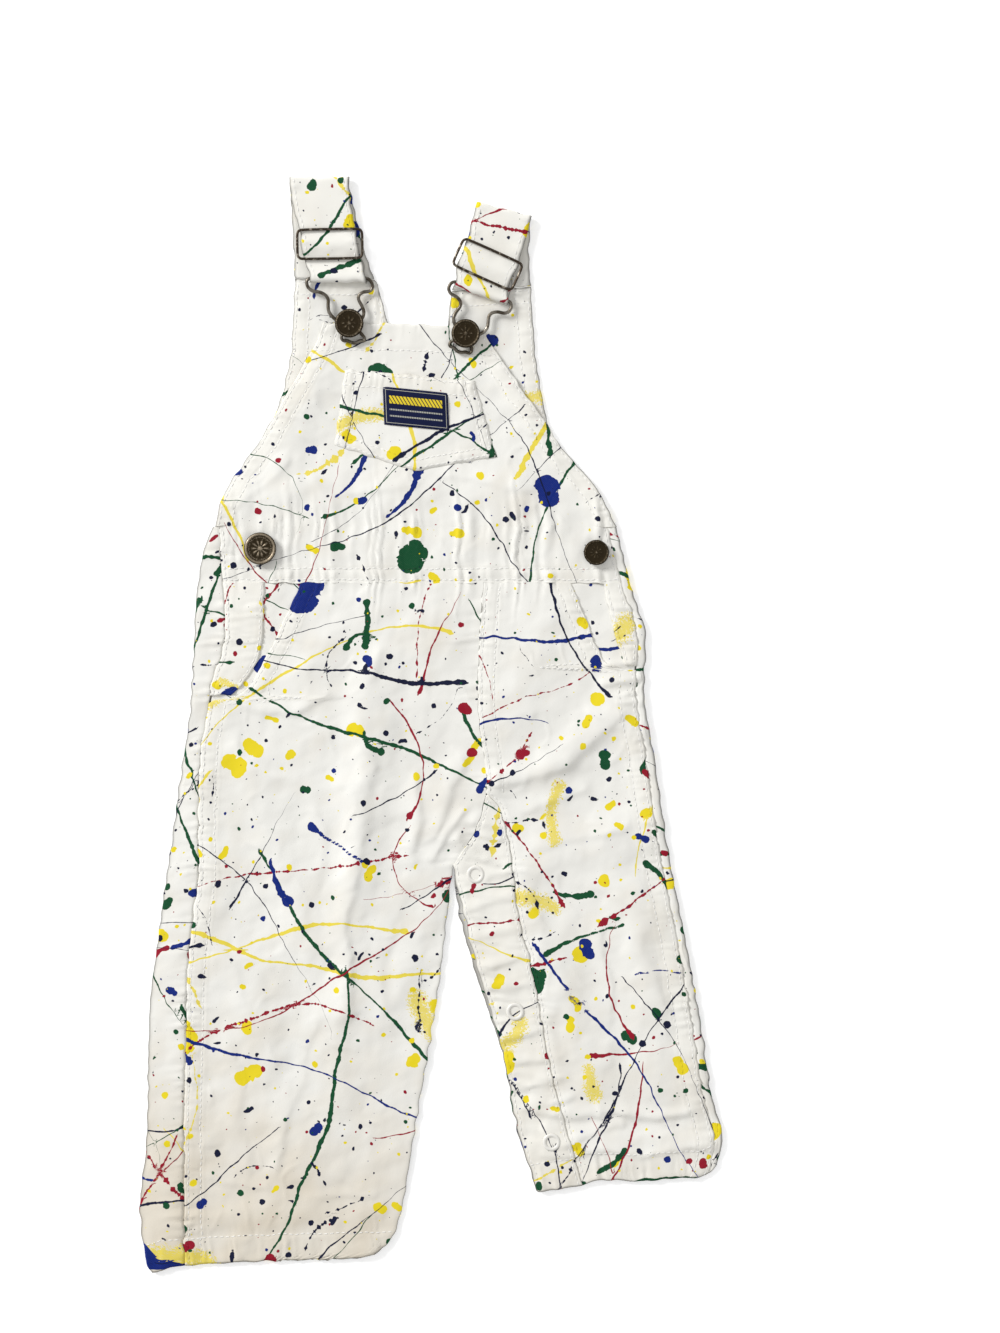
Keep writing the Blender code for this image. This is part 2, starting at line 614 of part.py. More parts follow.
def patch(name, table, height, thickness, colour=TWILL):
    """A patch sewn on the bib, made from rows across it."""
    rows = []
    columns = 2 * round((table[-1][2] - table[-1][0]) / (2 * STEP))
    for x0, y0, x1, y1, dip in reversed(subdivided(table)):
        row = []
        for share in shares(columns):
            sag = dip * (1 - abs(2 * share - 1))
            x, y = x0 + (x1 - x0) * share, y0 + (y1 - y0) * share + sag
            row.append((x, y, height(x, y)))
        rows.append(row)
    return sheet(name, rows, thickness=thickness, colour=colour)


def subdivided(table):
    """The rows of a table with a row halfway between each two."""
    found = []
    for first, second in zip(table, table[1:]):
        middle = tuple(0.5 * (a + b) for a, b in zip(first, second))
        found += [first, middle]
    return found + [table[-1]]


def make_patches():
    patch("bib_pocket", POCKET_ROWS, lambda x, y: front(x, y) + LAYER, CLOTH)
    patch("bib_label", LABEL_ROWS, lambda x, y: front(x, y) + LAYER + GAP + LABEL_CLOTH,
          LABEL_CLOTH, NAVY)


PARTS = start()
make_backs()
make_fronts()
make_waist()
make_bib()
make_patches()
for name, strap in STRAPS.items():
    make_strap(name, strap)
    make_slider(name, strap)
    make_buckle(name, strap)
    make_bib_button(name, strap)
for name, place in HIP_BUTTONS.items():
    make_hip_button(name, *place)
for name, place in SNAP_RINGS.items():
    make_snap(name, place)
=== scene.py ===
# %% [markdown]
# # A toddler's spattered bib overalls, laid flat
#
# White cotton twill, cut and sewn like work wear, then spattered with paint colours. Every piece
# below is made over its solid, in the same place.

# %% Open the frame
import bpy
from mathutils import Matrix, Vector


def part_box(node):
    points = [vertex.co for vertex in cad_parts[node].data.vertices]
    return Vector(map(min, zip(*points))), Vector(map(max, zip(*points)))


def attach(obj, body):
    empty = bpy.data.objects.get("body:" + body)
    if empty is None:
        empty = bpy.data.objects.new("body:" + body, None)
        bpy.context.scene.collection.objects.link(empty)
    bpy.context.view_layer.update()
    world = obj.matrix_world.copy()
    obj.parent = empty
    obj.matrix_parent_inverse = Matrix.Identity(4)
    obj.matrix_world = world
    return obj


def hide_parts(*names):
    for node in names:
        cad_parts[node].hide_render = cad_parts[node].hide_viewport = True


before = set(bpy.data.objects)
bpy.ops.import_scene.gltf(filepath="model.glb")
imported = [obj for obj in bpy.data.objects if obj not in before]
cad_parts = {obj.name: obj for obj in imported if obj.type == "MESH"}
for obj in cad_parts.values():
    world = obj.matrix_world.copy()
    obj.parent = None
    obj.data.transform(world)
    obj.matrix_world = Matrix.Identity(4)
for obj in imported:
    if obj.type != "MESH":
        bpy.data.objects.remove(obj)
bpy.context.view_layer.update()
print("solids to dress:", len(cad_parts))

# %%
import math

import bmesh
import bpy
import numpy as np
from mathutils import Matrix, Vector

MM = 0.001
scene = bpy.context.scene

# %% [markdown]
# ## Camera, floor and light
#
# Flat lays are shot straight down.  A long lens high above keeps the legs straight, and big soft
# lamps show the puckers without hard shadows.  One lamp is stronger, so that each crease has a
# light and a dark side.  The garment lies on paper over a light table, which gives off a little
# light of its own, so the shade round it stays faint.

# %% Camera and lamps
VIEW_CENTRE = (36.6, 31.0)      # mm, the point on the floor under the lens
VIEW_HEIGHT = 706.5             # mm of floor from top to bottom of the view
LENS, SENSOR = 80.0, 36.0       # mm
WORLD_LIGHT = 0.55
scene.view_settings.view_transform = "Standard"

lens = bpy.data.cameras.new("camera")
lens.lens, lens.sensor_width = LENS, SENSOR
camera = bpy.data.objects.new("camera", lens)
camera.location = (VIEW_CENTRE[0] * MM, VIEW_CENTRE[1] * MM, VIEW_HEIGHT * LENS / SENSOR * MM)
scene.collection.objects.link(camera)
scene.camera = camera


def lamp(name, place, size, power):
    """A square soft lamp that looks at the middle of the garment: place and size in m, power in W."""
    data = bpy.data.lights.new(name, "AREA")
    data.size, data.energy = size, power
    found = bpy.data.objects.new(name, data)
    found.location = place
    found.rotation_euler = (-Vector(place)).to_track_quat("-Z", "Y").to_euler()
    scene.collection.objects.link(found)


lamp("key", place=(-3.2, 2.3, 2.2), size=1.5, power=190.0)
lamp("fill", place=(2.0, -1.2, 3.2), size=2.4, power=22.0)
world = bpy.data.worlds.new("studio")
world.use_nodes = True
world.node_tree.nodes["Background"].inputs["Color"].default_value = (1.0, 1.0, 1.0, 1.0)
world.node_tree.nodes["Background"].inputs["Strength"].default_value = WORLD_LIGHT
scene.world = world
print("camera height", round(camera.location.z, 3), "m")

# %% [markdown]
# ## Small tools for shaders
#
# A finish is easier to read as arithmetic than as a web of nodes.  `Value` wraps a socket, and an
# expression on values adds the Math nodes for it.  Colours and vectors have their own nodes.


# %% Arithmetic on sockets
class Value:
    """A socket that can be used in a Python expression."""

    def __init__(self, tree, socket):
        self.tree, self.socket = tree, socket

    def maths(self, operation, *others, kind="ShaderNodeMath"):
        node = self.tree.nodes.new(kind)
        node.operation = operation
        for slot, item in zip(node.inputs, (self, *others)):
            plug(self.tree, slot, item)
        return Value(self.tree, node.outputs[0])

    def __add__(self, other):
        return self.maths("ADD", other)

    def __sub__(self, other):
        return self.maths("SUBTRACT", other)

    def __mul__(self, other):
        return self.maths("MULTIPLY", other)

    def __truediv__(self, other):
        return self.maths("DIVIDE", other)

    def __rsub__(self, other):
        return (self * -1.0) + other

    def __lt__(self, other):
        return self.maths("LESS_THAN", other)

    def __gt__(self, other):
        return self.maths("GREATER_THAN", other)

    __radd__, __rmul__ = __add__, __mul__

    def vector(self, operation, *others):
        return self.maths(operation, *others, kind="ShaderNodeVectorMath")

    def clamped(self):
        held = self * 1.0
        held.socket.node.use_clamp = True
        return held


def plug(tree, slot, item):
    """Puts a value, a number or a vector into a socket."""
    if isinstance(item, Value):
        tree.links.new(item.socket, slot)
    else:
        slot.default_value = item


class Finish:
    """A material and one way to add any node to it."""

    def __init__(self, name, roughness=0.9, metallic=0.0, specular=0.5):
        self.material = bpy.data.materials.new(name)
        self.material.use_nodes = True
        self.tree = self.material.node_tree
        self.shader = self.tree.nodes["Principled BSDF"]
        self.shader.inputs["Roughness"].default_value = roughness
        self.shader.inputs["Metallic"].default_value = metallic
        self.shader.inputs["Specular IOR Level"].default_value = specular
        place = self.node("ShaderNodeTexCoord", out="Object")
        self.place = place.vector("SCALE")
        self.place.socket.node.inputs["Scale"].default_value = 1.0 / MM

    def node(self, kind, settings=(), inputs=(), out=0):
        """A node of this type: settings first, then its sockets."""
        node = self.tree.nodes.new(kind)
        for name, value in dict(settings).items():
            setattr(node, name, value)
        for name, item in dict(inputs).items():
            plug(self.tree, node.inputs[name], item)
        return Value(self.tree, node.outputs[out])

    def noise(self, scale, detail=2.0, at=None, out="Fac", roughness=0.5):
        """Noise with features about 1 / scale millimetres wide."""
        return self.node("ShaderNodeTexNoise", {}, {"Vector": at or self.place, "Scale": scale,
                                                    "Detail": detail, "Roughness": roughness}, out)

    def split(self, vector):
        """The three numbers of a vector or colour."""
        node = self.node("ShaderNodeSeparateXYZ", {}, {"Vector": vector}).socket.node
        return [Value(self.tree, out) for out in node.outputs]

    def stored(self, name):
        """The three numbers that a mesh keeps at each point under this name."""
        return self.split(self.node("ShaderNodeAttribute", {"attribute_name": name}, out="Vector"))

    def mixed(self, share, first, second):
        """A colour between two."""
        node = self.tree.nodes.new("ShaderNodeMix")
        node.data_type = "RGBA"
        for slot, item in ((0, share), (6, first), (7, second)):
            plug(self.tree, node.inputs[slot], rgb(item) if isinstance(item, tuple) else item)
        return Value(self.tree, node.outputs[2])

    def set(self, name, item):
        """Gives the surface shader this colour or value."""
        plug(self.tree, self.shader.inputs[name], rgb(item) if isinstance(item, tuple) else item)

    def relief(self, height, distance, strength=1.0):
        """A bump whose height runs from 0 to 1 over this many millimetres."""
        bump = self.node("ShaderNodeBump", {}, {"Height": height, "Distance": distance * MM,
                                                "Strength": strength})
        self.set("Normal", bump)


def rgb(colour):
    """A colour as a socket takes it."""
    return (*colour, 1.0)


def finished(name, bm, finish):
    """A new object in the scene with this form and this finish."""
    mesh = bpy.data.meshes.new(name)
    bm.to_mesh(mesh)
    bm.free()
    mesh.materials.append(finish.material)
    made = bpy.data.objects.new(name, mesh)
    scene.collection.objects.link(made)
    return made


# %% Floor
FLOOR_HALF = 12.0               # m
FLOOR_LEVEL = -0.4              # mm, just clear of the cloth
FLOOR_GLOW = 0.32               # the light that comes through the paper

floor_finish = Finish("floor_paper", roughness=0.9)
floor_finish.set("Base Color", (0.94, 0.94, 0.94))
floor_finish.set("Emission Color", (1.0, 1.0, 1.0))
floor_finish.shader.inputs["Emission Strength"].default_value = FLOOR_GLOW
bm = bmesh.new()
bmesh.ops.create_grid(bm, x_segments=1, y_segments=1, size=FLOOR_HALF)
floor = finished("floor", bm, floor_finish)
floor.data.transform(Matrix.Translation((0.0, 0.0, FLOOR_LEVEL * MM)))

# %% [markdown]
# ## The cut
#
# Each edge and seam of the overalls is a short row of (y, x) points in millimetres, from the
# shoulders down, and a smooth curve runs through it.  The solids were cut from the same numbers,
# so the cloth lies on them.  Only the inner edge of the back leg at the right is cut a little
# further out here, so that the gap between the legs starts right at the crotch.

# %% Levels, edges and seams
CLOTH = 1.0                 # wall of a solid panel
GAP = 0.3                   # air between two solid pieces
LAYER = CLOTH + GAP
WAIST_TOP, WAIST_BOTTOM = 105.0, 75.3
CROTCH = -75.0
HEM_LEFT, HEM_RIGHT = -283.0, -241.0
SLANT_EASE = 40.0           # over this height the cloth takes up the slant of its edge
BELOW_LEGS, ABOVE_LEGS = -400, 90       # levels past both ends of a leg

LEFT_EDGE = [(105, -115.5), (90, -121), (69, -124), (13, -127), (-17, -131), (-88, -141), (-154, -149),
             (-218, -150.5), (-254, -154), (-274, -151.5), (-283, -148)]
LEFT_SEAM = [(105, -111.6), (90, -111.4), (72, -109.7), (50, -108.7), (35, -111.3), (24, -115.6),
             (7, -118.2), (-12, -121.4), (-52, -123.0), (-76, -122.8), (-97, -125.1),
             (-135, -128.8), (-170, -129.5), (-206, -130.5), (-244, -130.2), (-283, -130.2)]
RIGHT_EDGE = [(105, 98), (75, 105.5), (44, 114), (20, 113), (-18, 118.5), (-66, 125.5), (-114, 135),
              (-162, 143.5), (-193, 148), (-222, 154.5), (-232, 154), (-241, 151)]
RIGHT_LIP = 4.6        # the back panel shows this much at the right-hand edge
CENTRE_SEAM = [(75.3, 27.6), (45, 25.6), (13, 24.9), (-10, 27.0), (-29, 29.7), (-45, 27.0),
               (-62, 20.0), (-75, 11.5)]
BACK_SEAM = [(105, 18.0), (40, 16.5), (-20, 15.0), (-75, 11.5)]
INNER_LEFT = [(-75, 11.3), (-88, 10.2), (-111, 7.4), (-142, 3.7), (-165, 0.0), (-192, -4.8),
              (-213, -8.0), (-234, -11.7), (-253, -14.8), (-265, -17.5), (-274.5, -22.3),
              (-280.5, -30.0), (-283, -39.0)]
INNER_RIGHT = [(-75, 11.7), (-98, 14.4), (-109, 17.2), (-121, 20.6), (-146, 28.5), (-178, 39),
               (-209, 44.5), (-241, 56.5)]
PLACKET_EDGE = [(-37, 29), (-45, 27.3), (-62, 20.3), (-75, 12), (-97, 16.8), (-121, 22.6), (-146, 30),
                (-178, 39.5), (-209, 45), (-241, 57)]
PLACKET_LINE = [(-37, 30.0), (-43, 35.5), (-66, 42.0), (-99, 46.1), (-123, 51.9), (-146, 56.7),
                (-167, 60.3), (-195, 66.5), (-220, 74.0), (-241, 80.5)]
MOUTH_LEFT = [(75.3, -69.0), (50, -80.0), (28, -91.5), (15.5, -101.5)]
MOUTH_RIGHT = [(75.3, 74.2), (60, 80.6), (37, 90.1), (31, 96.5)]
MOUTH_END_LEFT = 12.4      # level where each mouth meets its side seam
MOUTH_END_RIGHT = 29.6
SIDE_PLACKET_LEFT = [(75.3, -88.0), (50, -88.5), (38, -90.5), (28, -95.0), (20, -101.5), (14, -108.0)]
SIDE_PLACKET_RIGHT = [(75.3, 91.0), (50, 97.0), (40, 100.0), (31.4, 103.0)]
BIB_LEFT = [(213, -57.2), (203, -60.5), (190, -67.8), (178, -74.7), (166, -81.4), (154, -88.0),
            (139, -98.6), (124, -108.4), (113, -112.6), (105, -113.8)]
BIB_RIGHT = [(213, 27.4), (199, 35.5), (187, 42.9), (177, 48.4), (169, 54.6), (159, 61.6),
             (146, 69.8), (133, 81.4), (121, 90.2), (110, 95.6), (105, 98.2)]
BACK_LEFT = [(196, -73.8), (181, -77.4), (168, -81.1), (155, -88.0), (139, -98.0), (124, -107.4),
             (113, -111.6), (105, -113.2)]
BACK_RIGHT = [(196, 55.2), (179, 57.8), (160, 62.0), (146, 69.5), (133, 80.6), (121, 89.4),
              (110, 95.0), (105, 97.4)]

# How far each slanted edge lies off its level, as rows of (x, y offset).
HEM_SLANT_LEFT = [(-153, -7.6), (-148, -7.4), (-136, -3.6), (-124, -2.6), (-100, -1.2), (-50, 0.4),
                  (-20, 1.0)]
HEM_SLANT_RIGHT = [(57, -6.0), (77, -3.3), (92, 0.2), (110, -0.4), (125, 1.0), (140, 1.6),
                   (147, 3.6), (152, 9.0)]
BIB_TOP_SLANT = [(-57, 0.0), (-20, -0.4), (12, -2.2), (28, -4.0)]

# The top of the high back: (share of the width, x, y), with a strap base at each side.
BACK_TOP = [(0.0, -72.1, 236.0), (0.108, -58.0, 236.0), (0.217, -44.0, 236.0),
            (0.325, -30.2, 236.0), (0.402, -22.0, 212.0), (0.487, -11.0, 205.0),
            (0.572, 0.0, 204.0), (0.642, 8.0, 208.0), (0.681, 11.6, 230.1), (0.789, 25.2, 230.7),
            (0.897, 38.9, 231.3), (1.0, 52.7, 231.9)]
BACK_YOKE = 196.0               # level where the strap bases begin

# The soft folds of the front, each along a segment.
FOLDS = [
    # x0, y0, x1, y1, half width, height
    (-27, 30, -38, -78, 11, 2.3),       # long fold down the left leg
    (-38, -78, -46, -150, 11, 2.0),
    (-46, -150, -54, -235, 13, 1.2),
    (-123, -20, -141, -270, 13, 1.4),   # fullness along the left outseam
    (-95, -20, -64, -115, 10, 1.3),
    (-102, -130, -72, -230, 12, 1.4),
    (12, -60, -45, -30, 8, 1.5),        # creases that leave the crotch
    (0, -100, -24, -155, 8, 1.0),
    (34, -31, 68, -20, 8, 1.6),
    (68, -20, 94, 8, 8, 1.6),
    (52, -76, 112, -58, 9, 1.5),
    (98, -60, 122, -190, 12, 2.0),      # long fold down the right leg
    (113, 5, 146, -195, 12, 1.2),
    (66, -120, 88, -190, 9, 1.3),
    (58, -222, 146, -219, 6, 1.4),      # the right hem buckles under its stitching
    (-136, -262, -32, -258, 8, 0.7),
    (-56, 192, -78, 140, 8, 1.2),       # from the bib buttons down to the hips
    (38, 186, 66, 140, 8, 1.2),
    (-20, 122, 42, 126, 9, 0.8),
    (-96, 120, -62, 126, 8, 0.8),
    (60, 58, 48, 5, 10, 1.0),
    (-35, 60, -68, 25, 9, 0.9),
]
DRAPE_LIMIT = 3.4               # mm, the front never stands further than this off the back
LIFT_TOP = (150.0, 112.0)       # the pocket and placket plies lift the front between these levels
LIFT_BOTTOM = (12.0, -30.0)

# The patch pocket and its label: rows of (x left, y left, x right, y right, dip in the middle).
POCKET_ROWS = [(-45.6, 188.2, 23.3, 181.8, 0.0), (-48.0, 168.0, 29.0, 162.0, 0.0),
               (-50.9, 147.9, 34.5, 142.0, -10.5)]
LABEL_ROWS = [(-25.4, 179.1, 9.0, 175.6, 0.0), (-24.6, 159.0, 9.8, 155.6, 0.0)]

# %% Curves and fields
TINY = 1e-9
LEE = (0.81, -0.58)         # away from the key lamp, along the table


def through(rows):
    """A smooth function through (key, value) rows, with no bulge past a row."""
    rows = sorted(rows)
    key = np.array([row[0] for row in rows], float)
    value = np.array([row[1] for row in rows], float)
    rise = np.diff(value) / np.diff(key)
    slope = np.concatenate([rise[:1], np.zeros(len(rise) - 1), rise[-1:]])
    before, after = rise[:-1], rise[1:]
    same = before * after > 0
    slope[1:-1] = np.where(same, 2 * before * after / np.where(same, before + after, 1.0), 0.0)

    def at(k):
        k = np.clip(k, key[0], key[-1])
        i = np.clip(np.searchsorted(key, k, side="right") - 1, 0, len(rise) - 1)
        width = key[i + 1] - key[i]
        t = (k - key[i]) / width
        rest = 1 - t
        return (value[i] * rest * rest * (1 + 2 * t) + slope[i] * width * t * rest * rest
                + value[i + 1] * t * t * (3 - 2 * t) - slope[i + 1] * width * t * t * rest)

    return at


def ease(start, end, value):
    """0 at start, 1 at end, smooth between."""
    t = np.clip((value - start) / (end - start), 0.0, 1.0)
    return t * t * (3 - 2 * t)


def ridges(rows, x, y, lean=0.0, blend=1):
    """Height of soft ridges along segments: (x0, y0, x1, y1, half width, height).

    With a lean, a ridge is steep on its lower right and gentle on its upper left.  A blend above 1
    keeps ridges from piling up where they cross.
    """
    total = np.zeros_like(x)
    for x0, y0, x1, y1, half, height in rows:
        ax, ay = x1 - x0, y1 - y0
        share = np.clip(((x - x0) * ax + (y - y0) * ay) / (ax * ax + ay * ay), 0.0, 1.0)
        dx, dy = x - x0 - share * ax, y - y0 - share * ay
        away = np.hypot(dx, dy) + TINY
        side = math.copysign(1.0, ay * LEE[0] - ax * LEE[1]) / math.hypot(ax, ay)
        leeward = side * (ay * dx - ax * dy) / away
        total += (height * np.exp(-(away / (half * (1.0 - lean * leeward))) ** 2)) ** blend
    return total ** (1 / blend)


def ripple(length, count, seed):
    """A random field of about -1 to 1 whose waves are about this long, from plane waves."""
    random = np.random.default_rng(seed)
    turn = random.uniform(0, math.tau, count)
    pitch = math.tau / (length * random.uniform(0.7, 1.6, count))
    phase = random.uniform(0, math.tau, count)

    def at(x, y):
        total = np.zeros_like(x)
        for a, k, p in zip(turn, pitch, phase):
            total += np.sin(k * (math.cos(a) * x + math.sin(a) * y) + p)
        return total / math.sqrt(0.5 * count) * 0.6     # so that 9 points in 10 are within -1 to 1

    return at


left_edge, left_seam, right_edge = through(LEFT_EDGE), through(LEFT_SEAM), through(RIGHT_EDGE)
centre_seam, back_seam = through(CENTRE_SEAM), through(BACK_SEAM)
inner_left, inner_right = through(INNER_LEFT), through(INNER_RIGHT)
placket_edge, placket_line = through(PLACKET_EDGE), through(PLACKET_LINE)
mouth_left = through(MOUTH_LEFT + [(MOUTH_END_LEFT, left_seam(MOUTH_END_LEFT))])
mouth_right = through(MOUTH_RIGHT + [(MOUTH_END_RIGHT, right_edge(MOUTH_END_RIGHT) - RIGHT_LIP)])
side_left, side_right = through(SIDE_PLACKET_LEFT), through(SIDE_PLACKET_RIGHT)
bib_left, bib_right = through(BIB_LEFT), through(BIB_RIGHT)
high_left, high_right = through(BACK_LEFT), through(BACK_RIGHT)
hem_slant_left, hem_slant_right = through(HEM_SLANT_LEFT), through(HEM_SLANT_RIGHT)
bib_top_slant = through(BIB_TOP_SLANT)

# Random fields: length of the waves in mm, how many waves, seed.
rumple, ruck, crinkle = ripple(46.0, 14, 3), ripple(17.0, 18, 5), ripple(7.0, 22, 9)
crease, worn_in = ripple(34.0, 12, 21), ripple(40.0, 10, 27)
patchy, uneven = ripple(11.0, 9, 31), ripple(26.0, 9, 33)
tug_x, tug_y = ripple(9.0, 12, 41), ripple(9.0, 12, 43)


def wrinkles(x, y):
    """Narrow ridges where the cloth was folded in the wash; they run out here and there."""
    return np.exp(-(crease(x, y) / 0.10) ** 2) * ease(-0.1, 0.7, worn_in(x, y))


def right_seam(y):
    return right_edge(y) - RIGHT_LIP


def hem_left(x, y):
    return y + hem_slant_left(x) * ease(HEM_LEFT + SLANT_EASE, HEM_LEFT, y)


def hem_right(x, y):
    return y + hem_slant_right(x) * ease(HEM_RIGHT + SLANT_EASE, HEM_RIGHT, y)


def bib_slant(x, y):
    return y + bib_top_slant(x) * ease(BIB_LEFT[0][0] - SLANT_EASE, BIB_LEFT[0][0], y)


# Creases finer than the folds of the solids, each along a segment as in FOLDS.
CREASES = [
    # x0, y0, x1, y1, half width, height
    (-29, 34, -33, -30, 6.0, 1.1),          # down the left thigh
    (-33, -30, -41, -82, 6.5, 1.3),
    (-41, -82, -47, -150, 6.5, 1.3),
    (-60, -46, -66, -130, 6.0, 0.6),
    (-4, -28, -8, -70, 4.0, 1.1),
    (-18, -84, -26, -150, 4.5, 0.7),
    (14, -20, 4, -58, 3.6, 1.1),            # from the crotch
    (16, -48, 2, -70, 3.0, 1.0),
    (-100, 9, -72, 6, 3.0, 0.9),            # the pocket bag shows through
    (-72, 6, -52, 17, 3.0, 0.9),
    (-52, 17, -33, 21, 3.0, 0.7),
    (-100, -8, -84, -30, 4.0, 0.6),
    (18, -58, 34, -74, 3.0, 1.3),
    (15, -70, 26, -82, 2.6, 1.0),
    (24, -50, 40, -58, 3.2, 1.1),
    (34, -33, 70, -22, 5.0, 1.3),           # over the right thigh
    (70, -22, 98, 4, 5.0, 1.3),
    (50, -46, 82, -34, 4.0, 0.9),
    (60, -64, 106, -52, 5.0, 0.9),
    (96, 32, 112, 36, 2.2, 1.2),
    (92, 22, 113, 26, 2.2, 1.3),
    (100, 12, 116, 8, 2.6, 0.8),
    (84, 6, 106, -8, 3.5, 0.8),
    (80, -84, 118, -100, 4.5, 0.7),
    (56, -92, 70, -172, 6.0, 0.9),
    (112, -88, 124, -150, 6.0, 1.0),
    (88, -112, 96, -176, 5.0, 0.7),
    (84, -208, 138, -203, 3.2, 1.6),        # the leg slumps over its own hem
    (50, -208, 88, -210, 3.2, 1.3),
    (64, -225, 104, -228, 2.6, 1.1),
    (104, -229, 146, -225, 2.8, 1.1),
    (58, -215, 78, -221, 2.6, 1.0),
    (76, -219, 100, -212, 2.8, 0.8),
    (17, -85, 42, -78, 2.6, 0.8),           # tucks across the snap placket
    (15, -98, 44, -91, 3.0, 0.9),
    (20, -112, 48, -108, 3.2, 0.8),
    (25, -130, 54, -120, 3.0, 0.9),
    (29, -141, 56, -136, 3.2, 1.0),
    (35, -168, 60, -160, 3.2, 1.0),
    (37, -180, 64, -175, 3.0, 0.8),
    (42, -194, 68, -186, 3.2, 0.9),
    (45, -207, 70, -200, 3.0, 1.0),
    (-118, -96, -96, -150, 5.0, 0.6),
    (-62, -160, -80, -232, 5.0, 0.7),
    (-104, -170, -98, -236, 5.5, 0.6),
    (-118, -240, -88, -246, 3.5, 0.6),
    (-60, -252, -28, -248, 3.0, 0.6),
    (-86, 168, -60, 152, 3.2, 0.5),         # on the bib
    (-40, 126, -4, 130, 3.6, 0.6),
    (8, 132, 48, 122, 3.4, 0.6),
    (-74, 134, -50, 118, 3.4, 0.5),
    (56, 150, 76, 128, 3.4, 0.5),
    (-96, 120, -80, 138, 3.4, 0.5),
]
STEEP, CROSSING = 0.42, 3   # how lopsided they are, and how little they pile up where they cross
WOBBLE = 5.0                # mm, how far they sway off their segments


def top(x, y):
    """Level of the face of the front: the solid's own lie, then the finer creases."""
    lift = LAYER * ease(*LIFT_TOP, y) * (1 - ease(*LIFT_BOTTOM, y))
    room = DRAPE_LIMIT - lift
    level = LAYER + CLOTH + lift + room * np.tanh(ridges(FOLDS, x, y) / room)
    wobble = WOBBLE * rumple(y, x)
    return (level + ridges(CREASES, x + wobble, y + 0.6 * wobble, STEEP, CROSSING)
            + 0.42 * rumple(x, y) + 0.18 * ruck(x, y) + 0.06 * crinkle(x, y)
            + 0.30 * wrinkles(x, y))


thigh = float(top(np.array([-40.0]), np.array([0.0]))[0])
print("curves and fields ready; the left thigh stands", round(thigh, 2), "mm off the table")

# %% [markdown]
# ## Cloth
#
# A cut piece starts as a grid from `create_grid`.  Its points are moved between its two long
# edges and lifted to the level of the front.  Where it is sewn, the cloth sinks under the thread
# and draws up in short uneven puckers, because cotton thread shrinks in the wash more than the
# cloth does.  A wall of thickness comes last, as in real twill under a millimetre.

# %% What is sewn along an edge
STEP = 1.25                 # mm between the points of a cut piece
TWILL = 0.62                # mm, the cloth's own thickness

# How a side can be sewn, in mm.  rows: how far in the stitching runs; ply and width: height and
# width of the turned-in cloth; pucker, reach and pitch: height, length and spacing of the puckers;
# roll: how far the very edge turns down.  tone, from 0 to 1: how double it looks.
SEWN_COLUMNS = ("rows", "ply", "width", "pucker", "reach", "pitch", "tone", "roll")
SEWN = {kind: dict(zip(SEWN_COLUMNS, row)) for kind, *row in [
    ("plain", (), 0.0, 0.0, 0.0, 1.0, 7.0, 0.0, 0.4),
    ("seam", (1.8,), 0.0, 2.0, 0.7, 7.0, 4.8, 0.3, 0.3),
    ("flush", (), 0.0, 2.0, 0.55, 10.0, 6.2, 0.2, 0.0),
    ("gather", (), 0.0, 2.0, 1.2, 15.0, 6.2, 0.2, 0.0),
    ("waist", (1.6, 7.4), 0.10, 9.0, 1.3, 15.0, 6.2, 0.4, 0.1),
    ("fly", (2.0, 8.6), 0.14, 10.4, 0.8, 8.0, 5.8, 0.25, 0.25),
    ("outseam", (2.0, 8.6), 0.25, 10.4, 0.95, 9.0, 5.0, 0.5, 0.35),
    ("lip", (), 0.0, 2.0, 1.0, 8.0, 5.2, 0.4, 0.4),
    ("hem", (14.2,), 0.40, 15.0, 0.80, 13.0, 5.4, 0.6, 0.4),
    ("top hem", (14.2,), 0.25, 15.0, 0.22, 7.0, 6.4, 0.4, 0.4),
    ("narrow", (1.6, 8.2), 0.30, 9.4, 0.75, 8.0, 4.9, 0.7, 0.4),
    ("mouth", (1.6, 7.6), 0.28, 8.8, 0.75, 8.0, 4.4, 0.7, 0.35),
    ("band", (1.8,), 0.35, 60.0, 0.8, 16.0, 8.4, 0.8, 0.4),
    ("side band", (1.8,), 0.2, 60.0, 0.65, 14.0, 3.9, 0.7, 0.3),
    ("patch", (1.4, 5.6), 0.2, 6.4, 0.50, 7.0, 4.6, 0.5, 0.4),
    ("label", (0.7,), 0.0, 0.0, 0.12, 3.0, 5.0, 0.0, 0.2),
]}
SEWN["webbing"] = dict(rows=(2.4,), width=60.0, tone=0.6, roll=0.4)     # a strap has its own relief
LEAN = 0.12                     # how much the puckers slant
ROLL_WIDTH = 0.9                # mm
GROOVE, GROOVE_WIDTH = 0.30, 0.8    # mm, how deep and how wide the thread sinks in
SPAN_EASE = 2                   # mm, how far one kind of sewing fades into the next
TUG = 0.4                       # mm, how far the sewing has pulled the cloth out of true


def puckers(along, pitch):
    """Uneven ridges from 0 to 1 along a seam, some of them faint."""
    bend = along + 0.9 * pitch * uneven(along, 0.0 * along) + 0.35 * pitch * patchy(along, 0.0 * along)
    strength = np.clip(0.66 + 0.65 * patchy(0.0 * along, 0.8 * along), 0.05, 1.35)
    return strength * (0.5 + 0.5 * np.sin(math.tau * bend / pitch)) ** 1.5


